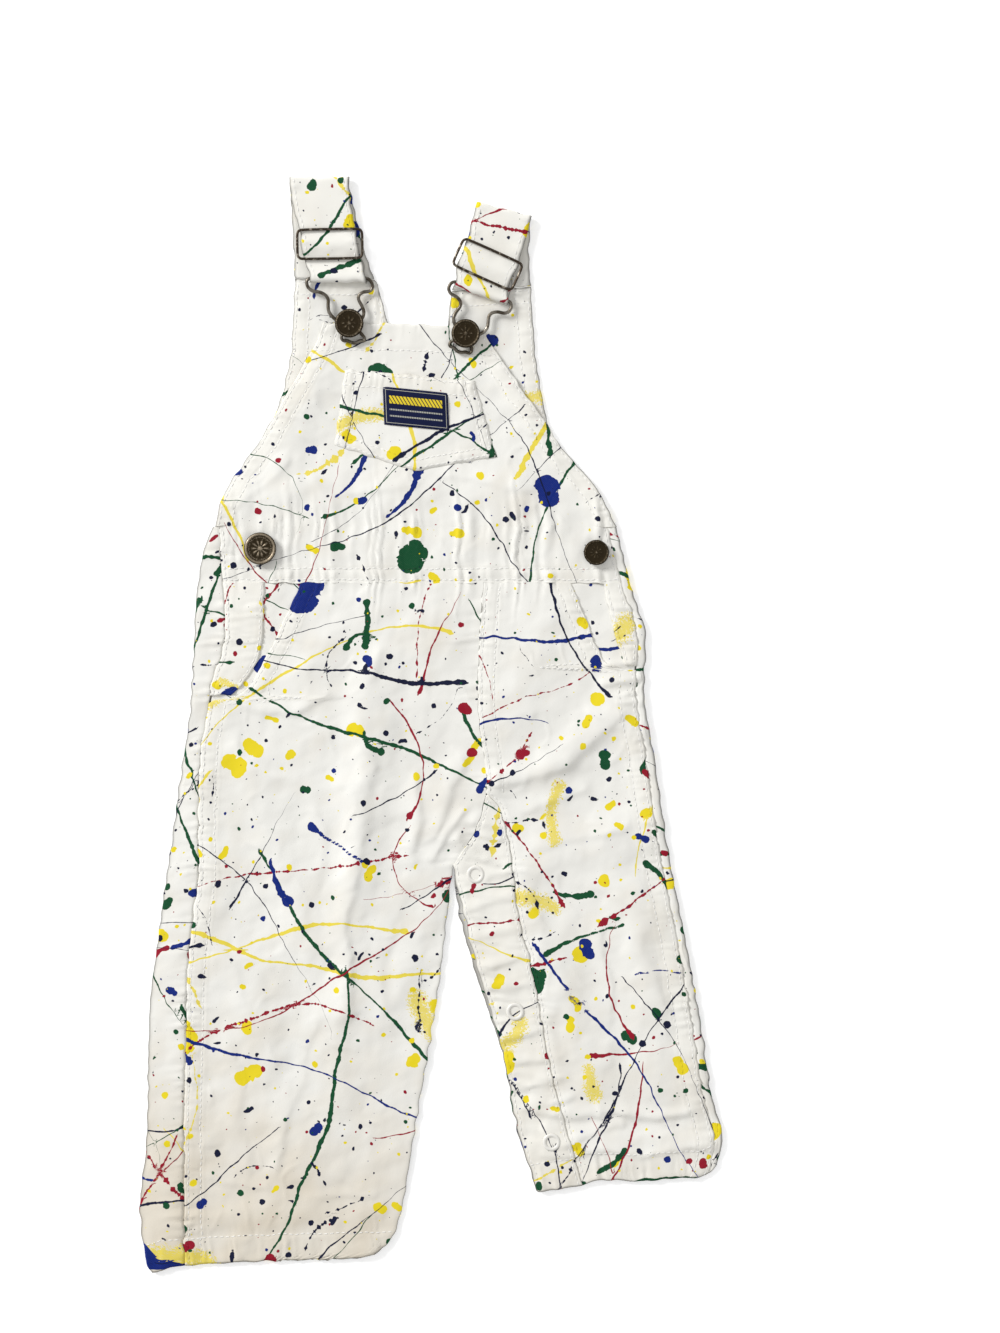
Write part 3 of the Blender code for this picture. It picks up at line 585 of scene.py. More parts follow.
def from_side(points, side):
    """Distance of each point of a grid from one of its sides, and its place along it."""
    x, y = points[..., 0], points[..., 1]
    if side in ("left", "right"):
        line = points[:, 0 if side == "left" else -1]
        run_x, run_y = np.gradient(line[:, 0]), np.gradient(line[:, 1])
        slope = np.abs(run_y) / np.sqrt(run_x ** 2 + run_y ** 2 + TINY)
        return np.abs(x - line[:, None, 0]) * slope[:, None], y
    line = points[0 if side == "bottom" else -1]
    run_x, run_y = np.gradient(line[:, 0]), np.gradient(line[:, 1])
    slope = np.abs(run_x) / np.sqrt(run_x ** 2 + run_y ** 2 + TINY)
    return np.abs(y - line[None, :, 1]) * slope[None, :], x


PRESSED = 6.5                   # mm, how far round a snap the cloth is pressed flat
SNAP_SINK = 0.12                # mm, how far a ring sinks into the cloth
SNAPS = ("top", "middle", "bottom")
snaps = []
for place in SNAPS:
    low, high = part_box("snap_ring_" + place)
    snaps.append(((low.x + high.x) / 2 / MM, (low.y + high.y) / 2 / MM, low.z / MM + SNAP_SINK))


def pressed(points):
    """Sinks the cloth to the underside of each snap ring."""
    for x, y, level in snaps:
        away = np.hypot(points[..., 0] - x, points[..., 1] - y)
        share = np.exp(-(away / PRESSED) ** 4)
        points[..., 2] += (np.minimum(points[..., 2], level) - points[..., 2]) * share


def within(span, along):
    """1 between the two ends of a span and 0 beyond them, or 1 all along if there is none."""
    if not span:
        return 1.0
    low, high = span
    return (ease(low - SPAN_EASE, low + SPAN_EASE, along)
            * (1 - ease(high - SPAN_EASE, high + SPAN_EASE, along)))


def sewn_relief(points, edges):
    """How much each point of a grid rises or sinks for what is sewn along its sides."""
    total = np.zeros(points.shape[:2])
    for side, kind, *span in edges:
        how = SEWN[kind]
        away, along = from_side(points, side)
        rise = how["ply"] * (1 - ease(how["width"] - 0.7, how["width"] + 0.9, away))
        rise = rise - how["roll"] * np.exp(-(away / ROLL_WIDTH) ** 2)
        drawn = np.zeros_like(away)
        for row in how["rows"]:
            groove = np.exp(-((away - row) / GROOVE_WIDTH) ** 2)
            rise = rise - GROOVE * groove
            drawn = np.maximum(drawn, groove)
        lean = along + LEAN * away
        reach = how["reach"] * np.clip(0.85 + 0.45 * patchy(along, 50.0 + 0.0 * along), 0.35, 1.5)
        fade = np.exp(-(away / reach) ** 2)
        rise = rise + how["pucker"] * (puckers(lean, how["pitch"]) - 0.3) * fade * (1 - 0.5 * drawn)
        total += rise * within(span, along)
    return total


def doubled(points, edges):
    """1 where the cloth is turned in and sewn double, 0 where it is single."""
    share = np.zeros(points.shape[:2])
    for side, kind, *span in edges:
        how = SEWN[kind]
        away, along = from_side(points, side)
        here = how["tone"] * (1 - ease(how["width"] - 1.0, how["width"] + 2.5, away))
        share = np.maximum(share, here * within(span, along))
    return share


# %% From a grid of points to a piece of cloth
CRISP = 0.1                     # mm, a sewn side that turns down no more than this has no rounded rim
cloths = {}


def cut_out(points, edges=(), lay=None, tug=TUG):
    """What is known of a piece: its points in mm, what is sewn along it, where each point is on the
    flat cloth, and how double the cloth is there."""
    lay = points[..., :2].copy() if lay is None else lay
    double = doubled(points, edges)
    x, y = points[..., 0].copy(), points[..., 1].copy()
    points[..., 0] += tug * tug_x(x, y)
    points[..., 1] += tug * tug_y(x, y)
    return dict(points=points, edges=edges, lay=lay, double=double)


def cloth(node, made, finish, thickness=TWILL, offset=-1.0):
    """The piece that stands for a solid: a grid of cloth with a wall of thickness."""
    points = made["points"]
    rows, columns = points.shape[:2]
    bm = bmesh.new()
    bmesh.ops.create_grid(bm, x_segments=columns - 1, y_segments=rows - 1, size=0.5)
    piece = finished(node + "_cloth", bm, finish)
    mesh = piece.data
    flat = np.empty(len(mesh.vertices) * 3)
    mesh.vertices.foreach_get("co", flat)
    flat = flat.reshape(-1, 3)
    column = np.rint((flat[:, 0] + 0.5) * (columns - 1)).astype(int)
    row = np.rint((flat[:, 1] + 0.5) * (rows - 1)).astype(int)
    mesh.vertices.foreach_set("co", (points[row, column] * MM).ravel())
    mesh.shade_smooth()
    pairs = np.empty(len(mesh.edges) * 2, int)
    mesh.edges.foreach_get("vertices", pairs)
    first, second = pairs.reshape(-1, 2).T
    crisp = np.zeros(len(mesh.edges), bool)
    for side, place, last in (("left", column, 0), ("right", column, columns - 1),
                              ("bottom", row, 0), ("top", row, rows - 1)):
        if any(edge[0] == side and SEWN[edge[1]]["roll"] <= CRISP for edge in made["edges"]):
            crisp |= (place[first] == last) & (place[second] == last)
    mesh.attributes.new("sharp_edge", "BOOLEAN", "EDGE").data.foreach_set("value", crisp)
    wall = piece.modifiers.new("wall", "SOLIDIFY")
    wall.thickness, wall.offset = thickness * MM, offset
    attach(piece, "root")
    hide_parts(node)
    made.update(piece=piece, order=(row, column))
    cloths[node] = made


def cut(low, high, left, right, level=top, slant=None, edges=(), step=STEP):
    """The grid of a panel between two long edges, with its sewing."""
    tall = max(2, round((high - low) / step))
    y = np.linspace(low, high, tall + 1)[:, None]
    left_x, right_x = left(y), right(y)
    wide = max(2, round(float(np.max(right_x - left_x)) / step))
    x = left_x + (right_x - left_x) * np.linspace(0, 1, wide + 1)[None, :]
    y = np.broadcast_to(y, x.shape)
    lie = slant(x, y) if slant else y
    points = np.stack([x, lie, level(x, lie)], axis=-1)
    points[..., 2] += sewn_relief(points, edges)
    return cut_out(points, edges)


# %% [markdown]
# ## Spattered twill
#
# Twill is woven on the slant, so it has fine ribs at an angle and faint clouds of tone where the
# cotton is thicker.  The paint is laid over it.  A mark could be drawn in an image, but it needs
# none: every point of a cut piece keeps its own distance from the nearest mark of each colour, and
# the shader compares that distance with the mark's width.  The edge comes out crisper than the
# grid, because a distance changes evenly from point to point.  Drops and specks are too small for
# the grid, so they are cells of a Voronoi pattern, each with its own chance of a drop.

# %% Twill and paint
COTTON, COTTON_SHADE = (0.815, 0.808, 0.768), (0.755, 0.742, 0.697)
# The second colour below is partly yellowing and partly painted shade down the legs; the third is painted
# shade where the cloth ends or turns under.
DOUBLE, YELLOWED_AND_SHADE, EDGE_SHADE_COLOUR = (0.805, 0.787, 0.728), (0.66, 0.60, 0.50), (0.075, 0.070, 0.060)
EDGE_SHADE_DEPTH = 0.85               # how much of the white the painted edge shade can hide
PAINTS = {      # in the order that they dried
    "yellow": (0.74, 0.60, 0.014),
    "green": (0.001, 0.062, 0.020),
    "red": (0.27, 0.004, 0.019),
    "blue": (0.001, 0.015, 0.165),
    "navy": (0.002, 0.005, 0.030),
}
# Drops: size of a cell and radius of the largest drop in mm, a power that makes small drops
# commoner, and the share of cells that have one.
DROPS = [(4.2, 0.45, 0.8, 0.20), (7.0, 0.95, 0.8, 0.36), (13.0, 2.0, 0.9, 0.46)]
# Each drop has a random number: past one of these it takes that colour, and below them all navy.
CHANCES = (("green", 0.42), ("red", 0.56), ("blue", 0.66), ("yellow", 0.74))
SOFT_EDGE = 6.0         # a mark's edge fades over one sixth of a millimetre


def twill(name):
    """White cotton twill: fine slanting ribs and soft clouds of tone.

    It is creamier where it is sewn double.  Down the legs it is warmer and darker, partly from
    yellowing and partly from painted shade, and where it ends or turns under it has painted shade.
    """
    finish = Finish(name, roughness=0.9, specular=0.15)
    rib = finish.node("ShaderNodeTexWave", {"wave_type": "BANDS", "bands_direction": "DIAGONAL"},
                      {"Vector": finish.place, "Scale": 0.55, "Distortion": 1.2, "Detail": 1.0,
                       "Detail Scale": 2.0})
    finish.weave = rib * 0.5 + finish.noise(0.9, 3.0) * 0.8
    double, yellowed_and_shade, edge_shade_share = finish.stored("plies_and_painted_shade")
    single = finish.mixed(finish.noise(0.02, 3.0), COTTON, COTTON_SHADE)
    # partly yellowing, partly painted shade down the legs, and a painted shadow at the left hem
    white = finish.mixed(yellowed_and_shade, finish.mixed(double, single, DOUBLE), YELLOWED_AND_SHADE)
    # painted shade where the cloth ends or turns under, laid over all the rest
    finish.white = finish.mixed(edge_shade_share.maths("POWER", 2.0) * EDGE_SHADE_DEPTH, white, EDGE_SHADE_COLOUR)
    return finish


def painted(finish):
    """Lays the marks of every colour over a cloth or thread, then the drops.

    A point is in a mark where its distance from the middle is less than the half width.  The edge
    is ragged, the width swells in beads along the way and falls away in the gaps, and a sponged
    mark covers only where its crumb is high, less and less towards its rim.
    """
    lay = finish.node("ShaderNodeAttribute", {"attribute_name": "lay"}, out="Vector")
    ragged = finish.noise(0.30, 2.0, at=lay) - 0.5
    crumb = finish.noise(0.9, 4.0, at=lay, roughness=0.72)
    soaked = (0.965 + finish.weave * 0.05).clamped()
    colour, cover = finish.white, 0.0

    def brush(share, tint):
        nonlocal colour, cover
        colour = finish.mixed(share * soaked, colour, tint)
        cover = share.maths("MAXIMUM", cover)

    for name, tint in PAINTS.items():
        offset, distance, width = finish.stored(name + "_reach")
        along, gap, sponge = finish.stored(name + "_trail")
        bead = finish.node("ShaderNodeTexNoise", {"noise_dimensions": "1D"},
                           {"W": along, "Scale": 0.32, "Detail": 2.0}, "Fac")
        field = (offset + ragged * (width * 0.55 + 0.12)).maths("ABSOLUTE").maths("MAXIMUM", distance)
        swell = (bead - gap) * (gap * 9.0 + 1.1) + (0.45 - gap)
        share = ((width * swell - field) * SOFT_EDGE).clamped()
        dabbed = crumb > sponge * (0.66 + field / width * 0.5)
        brush(share * dabbed * (1.0 - sponge * (0.9 - crumb)), tint)
    jog = finish.noise(0.6, 1.0, at=lay, out="Color").vector("MULTIPLY", (1.1, 1.1, 0.0))
    for size, largest, rarity, common in DROPS:
        cell = finish.node("ShaderNodeTexVoronoi", {"voronoi_dimensions": "2D"},
                           {"Vector": lay.vector("ADD", jog), "Scale": 1.0 / size}, "Distance")
        luck, choice, presence = finish.split(Value(finish.tree, cell.socket.node.outputs["Color"]))
        tint = PAINTS["navy"]
        for name, chance in CHANCES:
            tint = finish.mixed(choice > chance, tint, PAINTS[name])
        radius = luck.maths("POWER", rarity) * largest * (presence < common)
        brush(((radius - cell * size) * SOFT_EDGE).clamped(), tint)
    finish.set("Base Color", colour)
    finish.set("Roughness", 0.92 - cover * 0.27)
    finish.relief(finish.weave * (1.0 - cover * 0.5) + cover * 0.35, 0.12, 0.5)
    return finish


twill_painted = painted(twill("twill_spattered"))
print("twill finish:", len(twill_painted.tree.nodes), "nodes")

# %% [markdown]
# ## Legs, waistband and bib
#
# The back panels are wider than the fronts, so each rolls round its outer edge and shows as a
# band beside the outseam.  Its grid runs from the crotch seam along the table, round the roll and
# back over the front to the seam.

# %% Backs of the legs
ROLL_STEPS, FLOOR_STEPS, LIP_STEPS = 9, 24, 11
UNDER_FRONT = 0.3               # mm, the fold comes up this far below the front's level


def rolled(low, high, inner, edge, lip, slant, side, edges):
    """The grid of a back panel that rolls round its outer edge to the front.

    side is 1 where the outer edge is at the left, -1 where it is at the right.
    """
    tall = round((high - low) / STEP)
    y = np.linspace(low, high, tall + 1)[:, None]
    outer = edge(y)
    height = top(outer, y) - UNDER_FRONT
    radius = 0.5 * height
    turn = outer + side * radius
    floor_share = np.linspace(0, 1, FLOOR_STEPS + 1)[None, :]
    bend = np.pi * np.arange(1, ROLL_STEPS + 1)[None, :] / ROLL_STEPS
    lip_share = np.linspace(0, 1, LIP_STEPS + 1)[None, 1:]
    start = inner(y)
    x = np.hstack([start + (turn - start) * floor_share, turn - side * radius * np.sin(bend),
                   turn + (lip(y) - turn) * lip_share])
    lie = slant(x, np.broadcast_to(y, x.shape))
    z = np.hstack([np.zeros_like(start + floor_share), radius - radius * np.cos(bend),
                   top(x[:, -LIP_STEPS:], lie[:, -LIP_STEPS:]) - UNDER_FRONT * (1 - lip_share)])
    points = np.stack([x, lie, z], axis=-1)
    upper = ease(0.5, 1.0, z / height)
    points[..., 2] += upper * sewn_relief(points, edges)
    run = np.linalg.norm(np.diff(points[..., [0, 2]], axis=1), axis=-1)
    run = np.concatenate([np.zeros_like(run[:, :1]), np.cumsum(run, axis=1)], axis=1)
    lay = np.stack([run, points[..., 1]], axis=-1)
    order = slice(None, None, side)
    return cut_out(points[:, order], edges, lay[:, order])


def back_left_inner(y):
    return np.where(y >= CROTCH, back_seam(y), inner_left(y) - 0.3)


def back_right_inner(y):
    return np.where(y >= CROTCH, back_seam(y), inner_right(y))


cloth("back_leg_left",
      rolled(HEM_LEFT, WAIST_TOP, back_left_inner, left_edge, left_seam, hem_left, 1,
             [("right", "lip"), ("bottom", "hem")]), twill_painted)
cloth("back_leg_right",
      rolled(HEM_RIGHT, WAIST_TOP, back_right_inner, right_edge, right_seam, hem_right, -1,
             [("right", "plain"), ("bottom", "hem")]), twill_painted)


# %% Fronts of the legs and the snap placket
FLY_END = PLACKET_LINE[0][0]    # level where the placket begins


def leg_left_outer(y):
    return np.where(y >= MOUTH_END_LEFT, mouth_left(y), left_seam(y))


def leg_left_inner(y):
    return np.where(y >= CROTCH, centre_seam(y), inner_left(y))


def leg_right_inner(y):
    return np.where(y >= FLY_END, centre_seam(y), placket_line(y))


def leg_right_outer(y):
    return np.where(y >= MOUTH_END_RIGHT, mouth_right(y), right_seam(y))


cloth("front_leg_left",
      cut(HEM_LEFT, WAIST_BOTTOM, leg_left_outer, leg_left_inner, slant=hem_left,
          edges=[("left", "mouth", MOUTH_END_LEFT, ABOVE_LEGS),
                 ("left", "outseam", BELOW_LEGS, MOUTH_END_LEFT),
                 ("right", "flush", CROTCH, ABOVE_LEGS), ("right", "plain", BELOW_LEGS, CROTCH),
                 ("top", "flush"), ("bottom", "hem")]), twill_painted)
cloth("front_leg_right",
      cut(HEM_RIGHT, WAIST_BOTTOM, leg_right_inner, leg_right_outer, slant=hem_right,
          edges=[("right", "mouth", MOUTH_END_RIGHT, ABOVE_LEGS),
                 ("right", "outseam", BELOW_LEGS, MOUTH_END_RIGHT),
                 ("left", "fly", FLY_END, ABOVE_LEGS), ("left", "seam", BELOW_LEGS, FLY_END),
                 ("top", "flush"), ("bottom", "hem")]), twill_painted)
placket = cut(HEM_RIGHT, FLY_END, placket_edge, placket_line, slant=hem_right,
              edges=[("left", "band"), ("right", "seam"), ("bottom", "hem")])
pressed(placket["points"])
cloth("inseam_placket", placket, twill_painted)

# %% Waistband, side plackets and pocket facings
cloth("waistband_front",
      cut(WAIST_BOTTOM, WAIST_TOP, left_seam, right_seam,
          edges=[("bottom", "waist"), ("top", "gather"), ("left", "seam"), ("right", "seam")]),
      twill_painted)
SIDE_END_LEFT, SIDE_END_RIGHT = 15.8, 31.6      # levels where the side openings end
cloth("side_placket_left",
      cut(SIDE_END_LEFT, WAIST_BOTTOM, left_seam, side_left,
          edges=[("left", "seam"), ("right", "side band"), ("top", "flush"), ("bottom", "plain")]),
      twill_painted)
cloth("side_placket_right",
      cut(SIDE_END_RIGHT, WAIST_BOTTOM, side_right, right_seam,
          edges=[("left", "side band"), ("right", "seam"), ("top", "flush"), ("bottom", "plain")]),
      twill_painted)
FACING_END_LEFT, FACING_END_RIGHT = 9.0, 26.0
FACING_REACH, FACING_TUCK = 12.0, 13.0          # mm, past the mouth and past the side placket


def facing_level(x, y):
    """Just behind the front."""
    return top(x, y) - TWILL - 0.1


cloth("hip_pocket_facing_left",
      cut(FACING_END_LEFT, WAIST_BOTTOM,
          lambda y: np.maximum(side_left(y) - FACING_TUCK, left_seam(y) + 1.0),
          lambda y: mouth_left(y) + FACING_REACH, level=facing_level), twill_painted)
cloth("hip_pocket_facing_right",
      cut(FACING_END_RIGHT, WAIST_BOTTOM, lambda y: mouth_right(y) - FACING_REACH,
          lambda y: np.minimum(side_right(y) + 0.5 * FACING_TUCK, right_seam(y) - 1.0), level=facing_level),
      twill_painted)

# %% Bib, patch pocket and label
cloth("bib_front",
      cut(WAIST_TOP, BIB_LEFT[0][0], bib_left, bib_right, slant=bib_slant,
          edges=[("left", "narrow"), ("right", "narrow"), ("top", "top hem"), ("bottom", "gather")]),
      twill_painted)


def patch(rows, lift, edges, tug=TUG, squared=False):
    """The grid of a patch sewn on the bib, from rows across it.

    A squared patch lies as an upright rectangle on the flat cloth, which suits a woven label.
    """
    rows = np.array(rows, float)
    tall = round((rows[0, 1] - rows[-1, 1]) / STEP)
    v = np.linspace(len(rows) - 1, 0, tall + 1)
    table = np.stack([np.interp(v, np.arange(len(rows)), rows[:, i]) for i in range(5)], axis=-1)
    wide = round((rows[-1, 2] - rows[-1, 0]) / STEP)
    u = np.linspace(0, 1, wide + 1)[None, :]
    x = table[:, 0:1] + (table[:, 2:3] - table[:, 0:1]) * u
    y = table[:, 1:2] + (table[:, 3:4] - table[:, 1:2]) * u + table[:, 4:5] * (1 - np.abs(2 * u - 1))
    points = np.stack([x, y, top(x, y) + lift], axis=-1)
    points[..., 2] += sewn_relief(points, edges)
    size = rows[0, 2] - rows[0, 0], rows[0, 1] - rows[-1, 1]
    spread = np.broadcast_arrays((u - 0.5) * size[0], (0.5 - v[:, None] / (len(rows) - 1)) * size[1])
    return cut_out(points, edges, np.stack(spread, axis=-1) if squared else None, tug)


POCKET_WALL = 0.4               # mm, the pocket is cut from a thinner cloth
POCKET_AIR, LABEL_AIR = 0.12, 0.35      # mm, between each patch and the cloth that it is sewn on
cloth("bib_pocket",
      patch(POCKET_ROWS, POCKET_WALL + POCKET_AIR,
            [("left", "patch"), ("right", "patch"), ("bottom", "patch"), ("top", "narrow")]),
      twill_painted, thickness=POCKET_WALL)

# %% [markdown]
# ## Woven label
#
# A label is damask: navy satin with figures in thicker yellow and cream thread.  This one is plain
# by choice.  It has a cream border line, one yellow band of slanting bars and two fine cream lines.

# %% Label, all sizes in mm
LABEL_WALL = 0.6
LABEL_HALF = (17.2, 10.0)       # half its width and height
BORDER_INSET, BORDER_HALF = 1.3, 0.16
FIGURE_INSET = 2 * BORDER_INSET + 0.6
BAND = (3.6, 2.1)               # height of the yellow band's middle and half its width
BAR_SLANT, BARS, BAR_GAP = 0.6, 0.52, 0.28      # how far each bar leans, bars in a mm, share left out
FINE_LINES, FINE_HALF = (-1.6, -5.0), 0.42      # heights of the cream lines and half their width
DASHES, DASH_GAP = 1.1, 0.30    # dashes in a mm, share left out
SATIN, YELLOW_THREAD, CREAM_THREAD = (0.003, 0.006, 0.034), (0.72, 0.56, 0.03), (0.42, 0.42, 0.36)

label_finish = Finish("label_weave", roughness=0.7, specular=0.15)
across, up, _ = label_finish.stored("lay")
from_side_edge = LABEL_HALF[0] - across.maths("ABSOLUTE")
from_long_edge = LABEL_HALF[1] - up.maths("ABSOLUTE")
inset = from_side_edge.maths("MINIMUM", from_long_edge)
border = (inset - BORDER_INSET).maths("ABSOLUTE") < BORDER_HALF
inside = from_side_edge > FIGURE_INSET
bars = ((across + up * BAR_SLANT) * BARS).maths("FRACT") > BAR_GAP
band = ((up - BAND[0]).maths("ABSOLUTE") < BAND[1]) * inside * bars
dashes = ((across * DASHES).maths("FRACT") > DASH_GAP) * inside
fine = sum(((up - level).maths("ABSOLUTE") < FINE_HALF) * dashes for level in FINE_LINES)
pale = (border + fine).clamped()
weft = label_finish.node("ShaderNodeTexWave", {"bands_direction": "Y"},
                         {"Vector": label_finish.place, "Scale": 0.9, "Distortion": 0.3})
satin = label_finish.mixed(weft * 0.35, SATIN, tuple(2.0 * part for part in SATIN))
label_finish.set("Base Color", label_finish.mixed(pale, label_finish.mixed(band, satin, YELLOW_THREAD),
                                                  CREAM_THREAD))
label_finish.relief(weft * 0.4 + band * 0.6 + pale * 0.6, 0.10, 0.8)
cloth("bib_label",
      patch(LABEL_ROWS, POCKET_WALL + LABEL_AIR + LABEL_WALL,
            [(side, "label") for side in ("left", "right", "top", "bottom")], tug=0.0, squared=True),
      label_finish, thickness=LABEL_WALL)


# %% The high back behind the bib
BACK_COLUMNS, BODY_ROWS, YOKE_ROWS = 120, 58, 24    # points across, up to the yoke and above it
BACK_LEVEL = 1.35               # mm


def high_back():
    """The grid of the high back: straight up to the yoke, then fanned out to its shaped top."""
    top_x = through([(s, x) for s, x, y in BACK_TOP])
    top_y = through([(s, y) for s, x, y in BACK_TOP])
    u = np.linspace(0, 1, BACK_COLUMNS)[None, :]
    y = np.linspace(WAIST_TOP, BACK_YOKE, BODY_ROWS)[:, None]
    left, right = high_left(y), high_right(y)
    x = left + (right - left) * u
    rise = np.linspace(0, 1, YOKE_ROWS)[1:, None]
    upper_x = x[-1] + (top_x(u) - x[-1]) * rise
    upper_y = BACK_YOKE + (top_y(u) - BACK_YOKE) * rise
    x = np.vstack([x, upper_x])
    y = np.vstack([np.broadcast_to(y, (BODY_ROWS, BACK_COLUMNS)), upper_y])
    z = BACK_LEVEL + 0.12 * ruck(x, y) + 0.03 * crinkle(x, y)
    points = np.stack([x, y, z], axis=-1)
    edges = [("left", "narrow"), ("right", "narrow"), ("top", "narrow")]
    points[..., 2] = np.maximum(points[..., 2] + sewn_relief(points, edges), TWILL)
    return cut_out(points, edges)


cloth("back_bib", high_back(), twill_painted)
print("cloth pieces:", len(cloths))

# %% [markdown]
# ## Straps
#
# A strap is one band of doubled twill.  It leaves the back, folds over the shoulder, comes down
# the front through the slider, turns round the buckle's bar and ends behind itself.  So it is one
# long grid along that path, smooth through the rows that the solid strap has.

# %% The strap's path, all sizes in mm
WIRE, SLIDER_WIRE = 1.0, 0.8    # radii
STRAP_CLOTH = 1.2
PLY_BACK = 0.5 * STRAP_CLOTH
PLY_RETURN = PLY_BACK + STRAP_CLOTH + GAP
LOOP_RADIUS = WIRE + GAP + 0.5 * STRAP_CLOTH
PLY_LOOP = PLY_RETURN + 2 * LOOP_RADIUS
BAR_Z = PLY_RETURN + 0.5 * STRAP_CLOTH + GAP + SLIDER_WIRE
PLY_OVER_BAR = BAR_Z + SLIDER_WIRE + GAP + 0.5 * STRAP_CLOTH
PLY_UNDER_WIRE = PLY_RETURN + STRAP_CLOTH + 0.6
FOLD_RADIUS = 0.5 * (PLY_UNDER_WIRE - PLY_BACK)
RETURN_LENGTH, STRAP_AT_BUCKLE = 13.0, 14.6     # behind itself; half its width round the bar
TURN_PARTS = 6                  # a half turn is six straight parts
STRAP_STEP, STRAP_COLUMNS = 1.1, 19
STRAP_WALL = 1.05
FRONT_LEVEL = (3.2, 3.8)        # the strap is at the front, and looks sewn, from between these heights
HIDDEN = (24.0, 20.0)           # its last part is hidden, from between these lengths before its end

# Rows of (x, y, turn in degrees, half width), and the height of the middle down the front.
STRAPS = {
    "left": {
        "back": [(-51.1, 236.3, 0.0, 20.9), (-54.5, 254.0, 0.0, 18.4), (-57.0, 272.0, 0.0, 16.8),
                 (-59.0, 287.9, -0.5, 15.9)],
        "front": [(-59.0, 287.9, -0.5, 15.8, PLY_UNDER_WIRE), (-57.5, 275.0, 0.0, 15.6, PLY_UNDER_WIRE),
                  (-54.8, 262.6, 0.5, 14.8, PLY_UNDER_WIRE), (-53.4, 254.6, 1.0, 14.9, PLY_OVER_BAR),
                  (-52.0, 246.0, 0.5, 14.8, PLY_UNDER_WIRE)],
        "slider": (-53.3, 254.2, 1.0),
        "buckle": (-49.0, 236.2, 0.0),
    },
    "right": {
        "back": [(32.2, 231.5, 2.5, 20.6), (33.8, 245.0, 2.0, 18.2), (35.8, 258.0, -3.0, 16.2),
                 (38.4, 271.2, -14.2, 14.9)],
        "front": [(38.4, 271.2, -14.2, 14.9, PLY_UNDER_WIRE), (35.6, 260.5, -19.0, 14.8, PLY_UNDER_WIRE),
                  (33.2, 250.9, -24.0, 14.8, PLY_UNDER_WIRE), (30.1, 243.7, -24.3, 14.8, PLY_OVER_BAR),
                  (27.2, 236.4, -24.0, 14.8, PLY_UNDER_WIRE)],
        "slider": (30.1, 243.4, -24.3),
        "buckle": (27.2, 229.2, -20.0),
    },
}


def half_turn(x, y, turn, half, way, radius, z, rise):
    """Rows of half a turn over a fold (way 1) or round a bar (way -1), starting at height z."""
    angle = math.radians(turn)
    found = []
    for i in range(1, TURN_PARTS):
        bend = math.pi * i / TURN_PARTS
        reach = way * radius * math.sin(bend)
        found.append((x - reach * math.sin(angle), y + reach * math.cos(angle), turn, half,
                      z + rise * radius * (1 - math.cos(bend))))
    return found


def strap_points(strap):
    """The grid of a strap, from the seam at the back to the end behind the buckle."""
    bar = (*strap["buckle"], STRAP_AT_BUCKLE)
    slider = strap["slider"]
    share = RETURN_LENGTH / math.dist(bar[:2], slider[:2])
    end = tuple(a + (b - a) * share for a, b in zip(bar[:3], slider))
    path = [(*row, PLY_BACK) for row in strap["back"]]
    path += half_turn(*strap["back"][-1], 1, FOLD_RADIUS, PLY_BACK, 1)
    path += strap["front"] + [(*bar, PLY_LOOP)]
    path += half_turn(*bar, -1, LOOP_RADIUS, PLY_LOOP, -1)
    path += [(*bar, PLY_RETURN), (*end, STRAP_AT_BUCKLE, PLY_RETURN)]
    rows = np.array(path)
    middle = rows[:, [0, 1, 4]]
    length = np.concatenate([[0.0], np.cumsum(np.linalg.norm(np.diff(middle, axis=0), axis=1))])
    at = np.linspace(0, length[-1], round(length[-1] / STRAP_STEP) + 1)
    x, y, turn, half, z = (through(list(zip(length, rows[:, i])))(at) for i in range(5))
    across = np.linspace(-1, 1, STRAP_COLUMNS)[None, :]
    turn = np.radians(turn)[:, None]
    points = np.stack([x[:, None] + half[:, None] * across * np.cos(turn),
                       y[:, None] + half[:, None] * across * np.sin(turn),
                       np.broadcast_to(z[:, None], (len(at), STRAP_COLUMNS))], axis=-1)
    last = 1 - ease(length[-1] - HIDDEN[0], length[-1] - HIDDEN[1], at)
    shown = ease(*FRONT_LEVEL, z)[:, None] * last[:, None]
    edge = (1 - np.abs(across)) * half[:, None]
    along = at[:, None] + 0 * across
    inset = SEWN["webbing"]["rows"][0]
    rise = 0.55 * puckers(along, 5.5) * np.exp(-((edge - 2.0) / 2.6) ** 2)
    rise = rise - GROOVE * np.exp(-((edge - inset) / 0.7) ** 2)
    rise = rise - 0.15 * np.exp(-(edge / ROLL_WIDTH) ** 2)
    points[..., 2] += shown * (rise + 0.12 * ruck(points[..., 0], points[..., 1]))
    print("strap", round(float(length[-1])), "mm long")
    flat = np.broadcast_arrays(half[:, None] * across, at[:, None])
    return cut_out(points, [("left", "webbing"), ("right", "webbing")], np.stack(flat, axis=-1))


for side, strap in STRAPS.items():
    cloth("strap_" + side, strap_points(strap), twill_painted, thickness=STRAP_WALL, offset=0.0)

# %% [markdown]
# ## Metal
#
# The buckles and sliders are bent steel wire with an antique plating that wears bright on top.
# Their solids already have the right path, so each is copied, its loose triangles are merged, and
# a level of subdivision rounds the wire.  The buttons are pressed from brass sheet: a dished face
# with rings and rays inside a rolled rim, spun from a profile and then pressed by moving points.

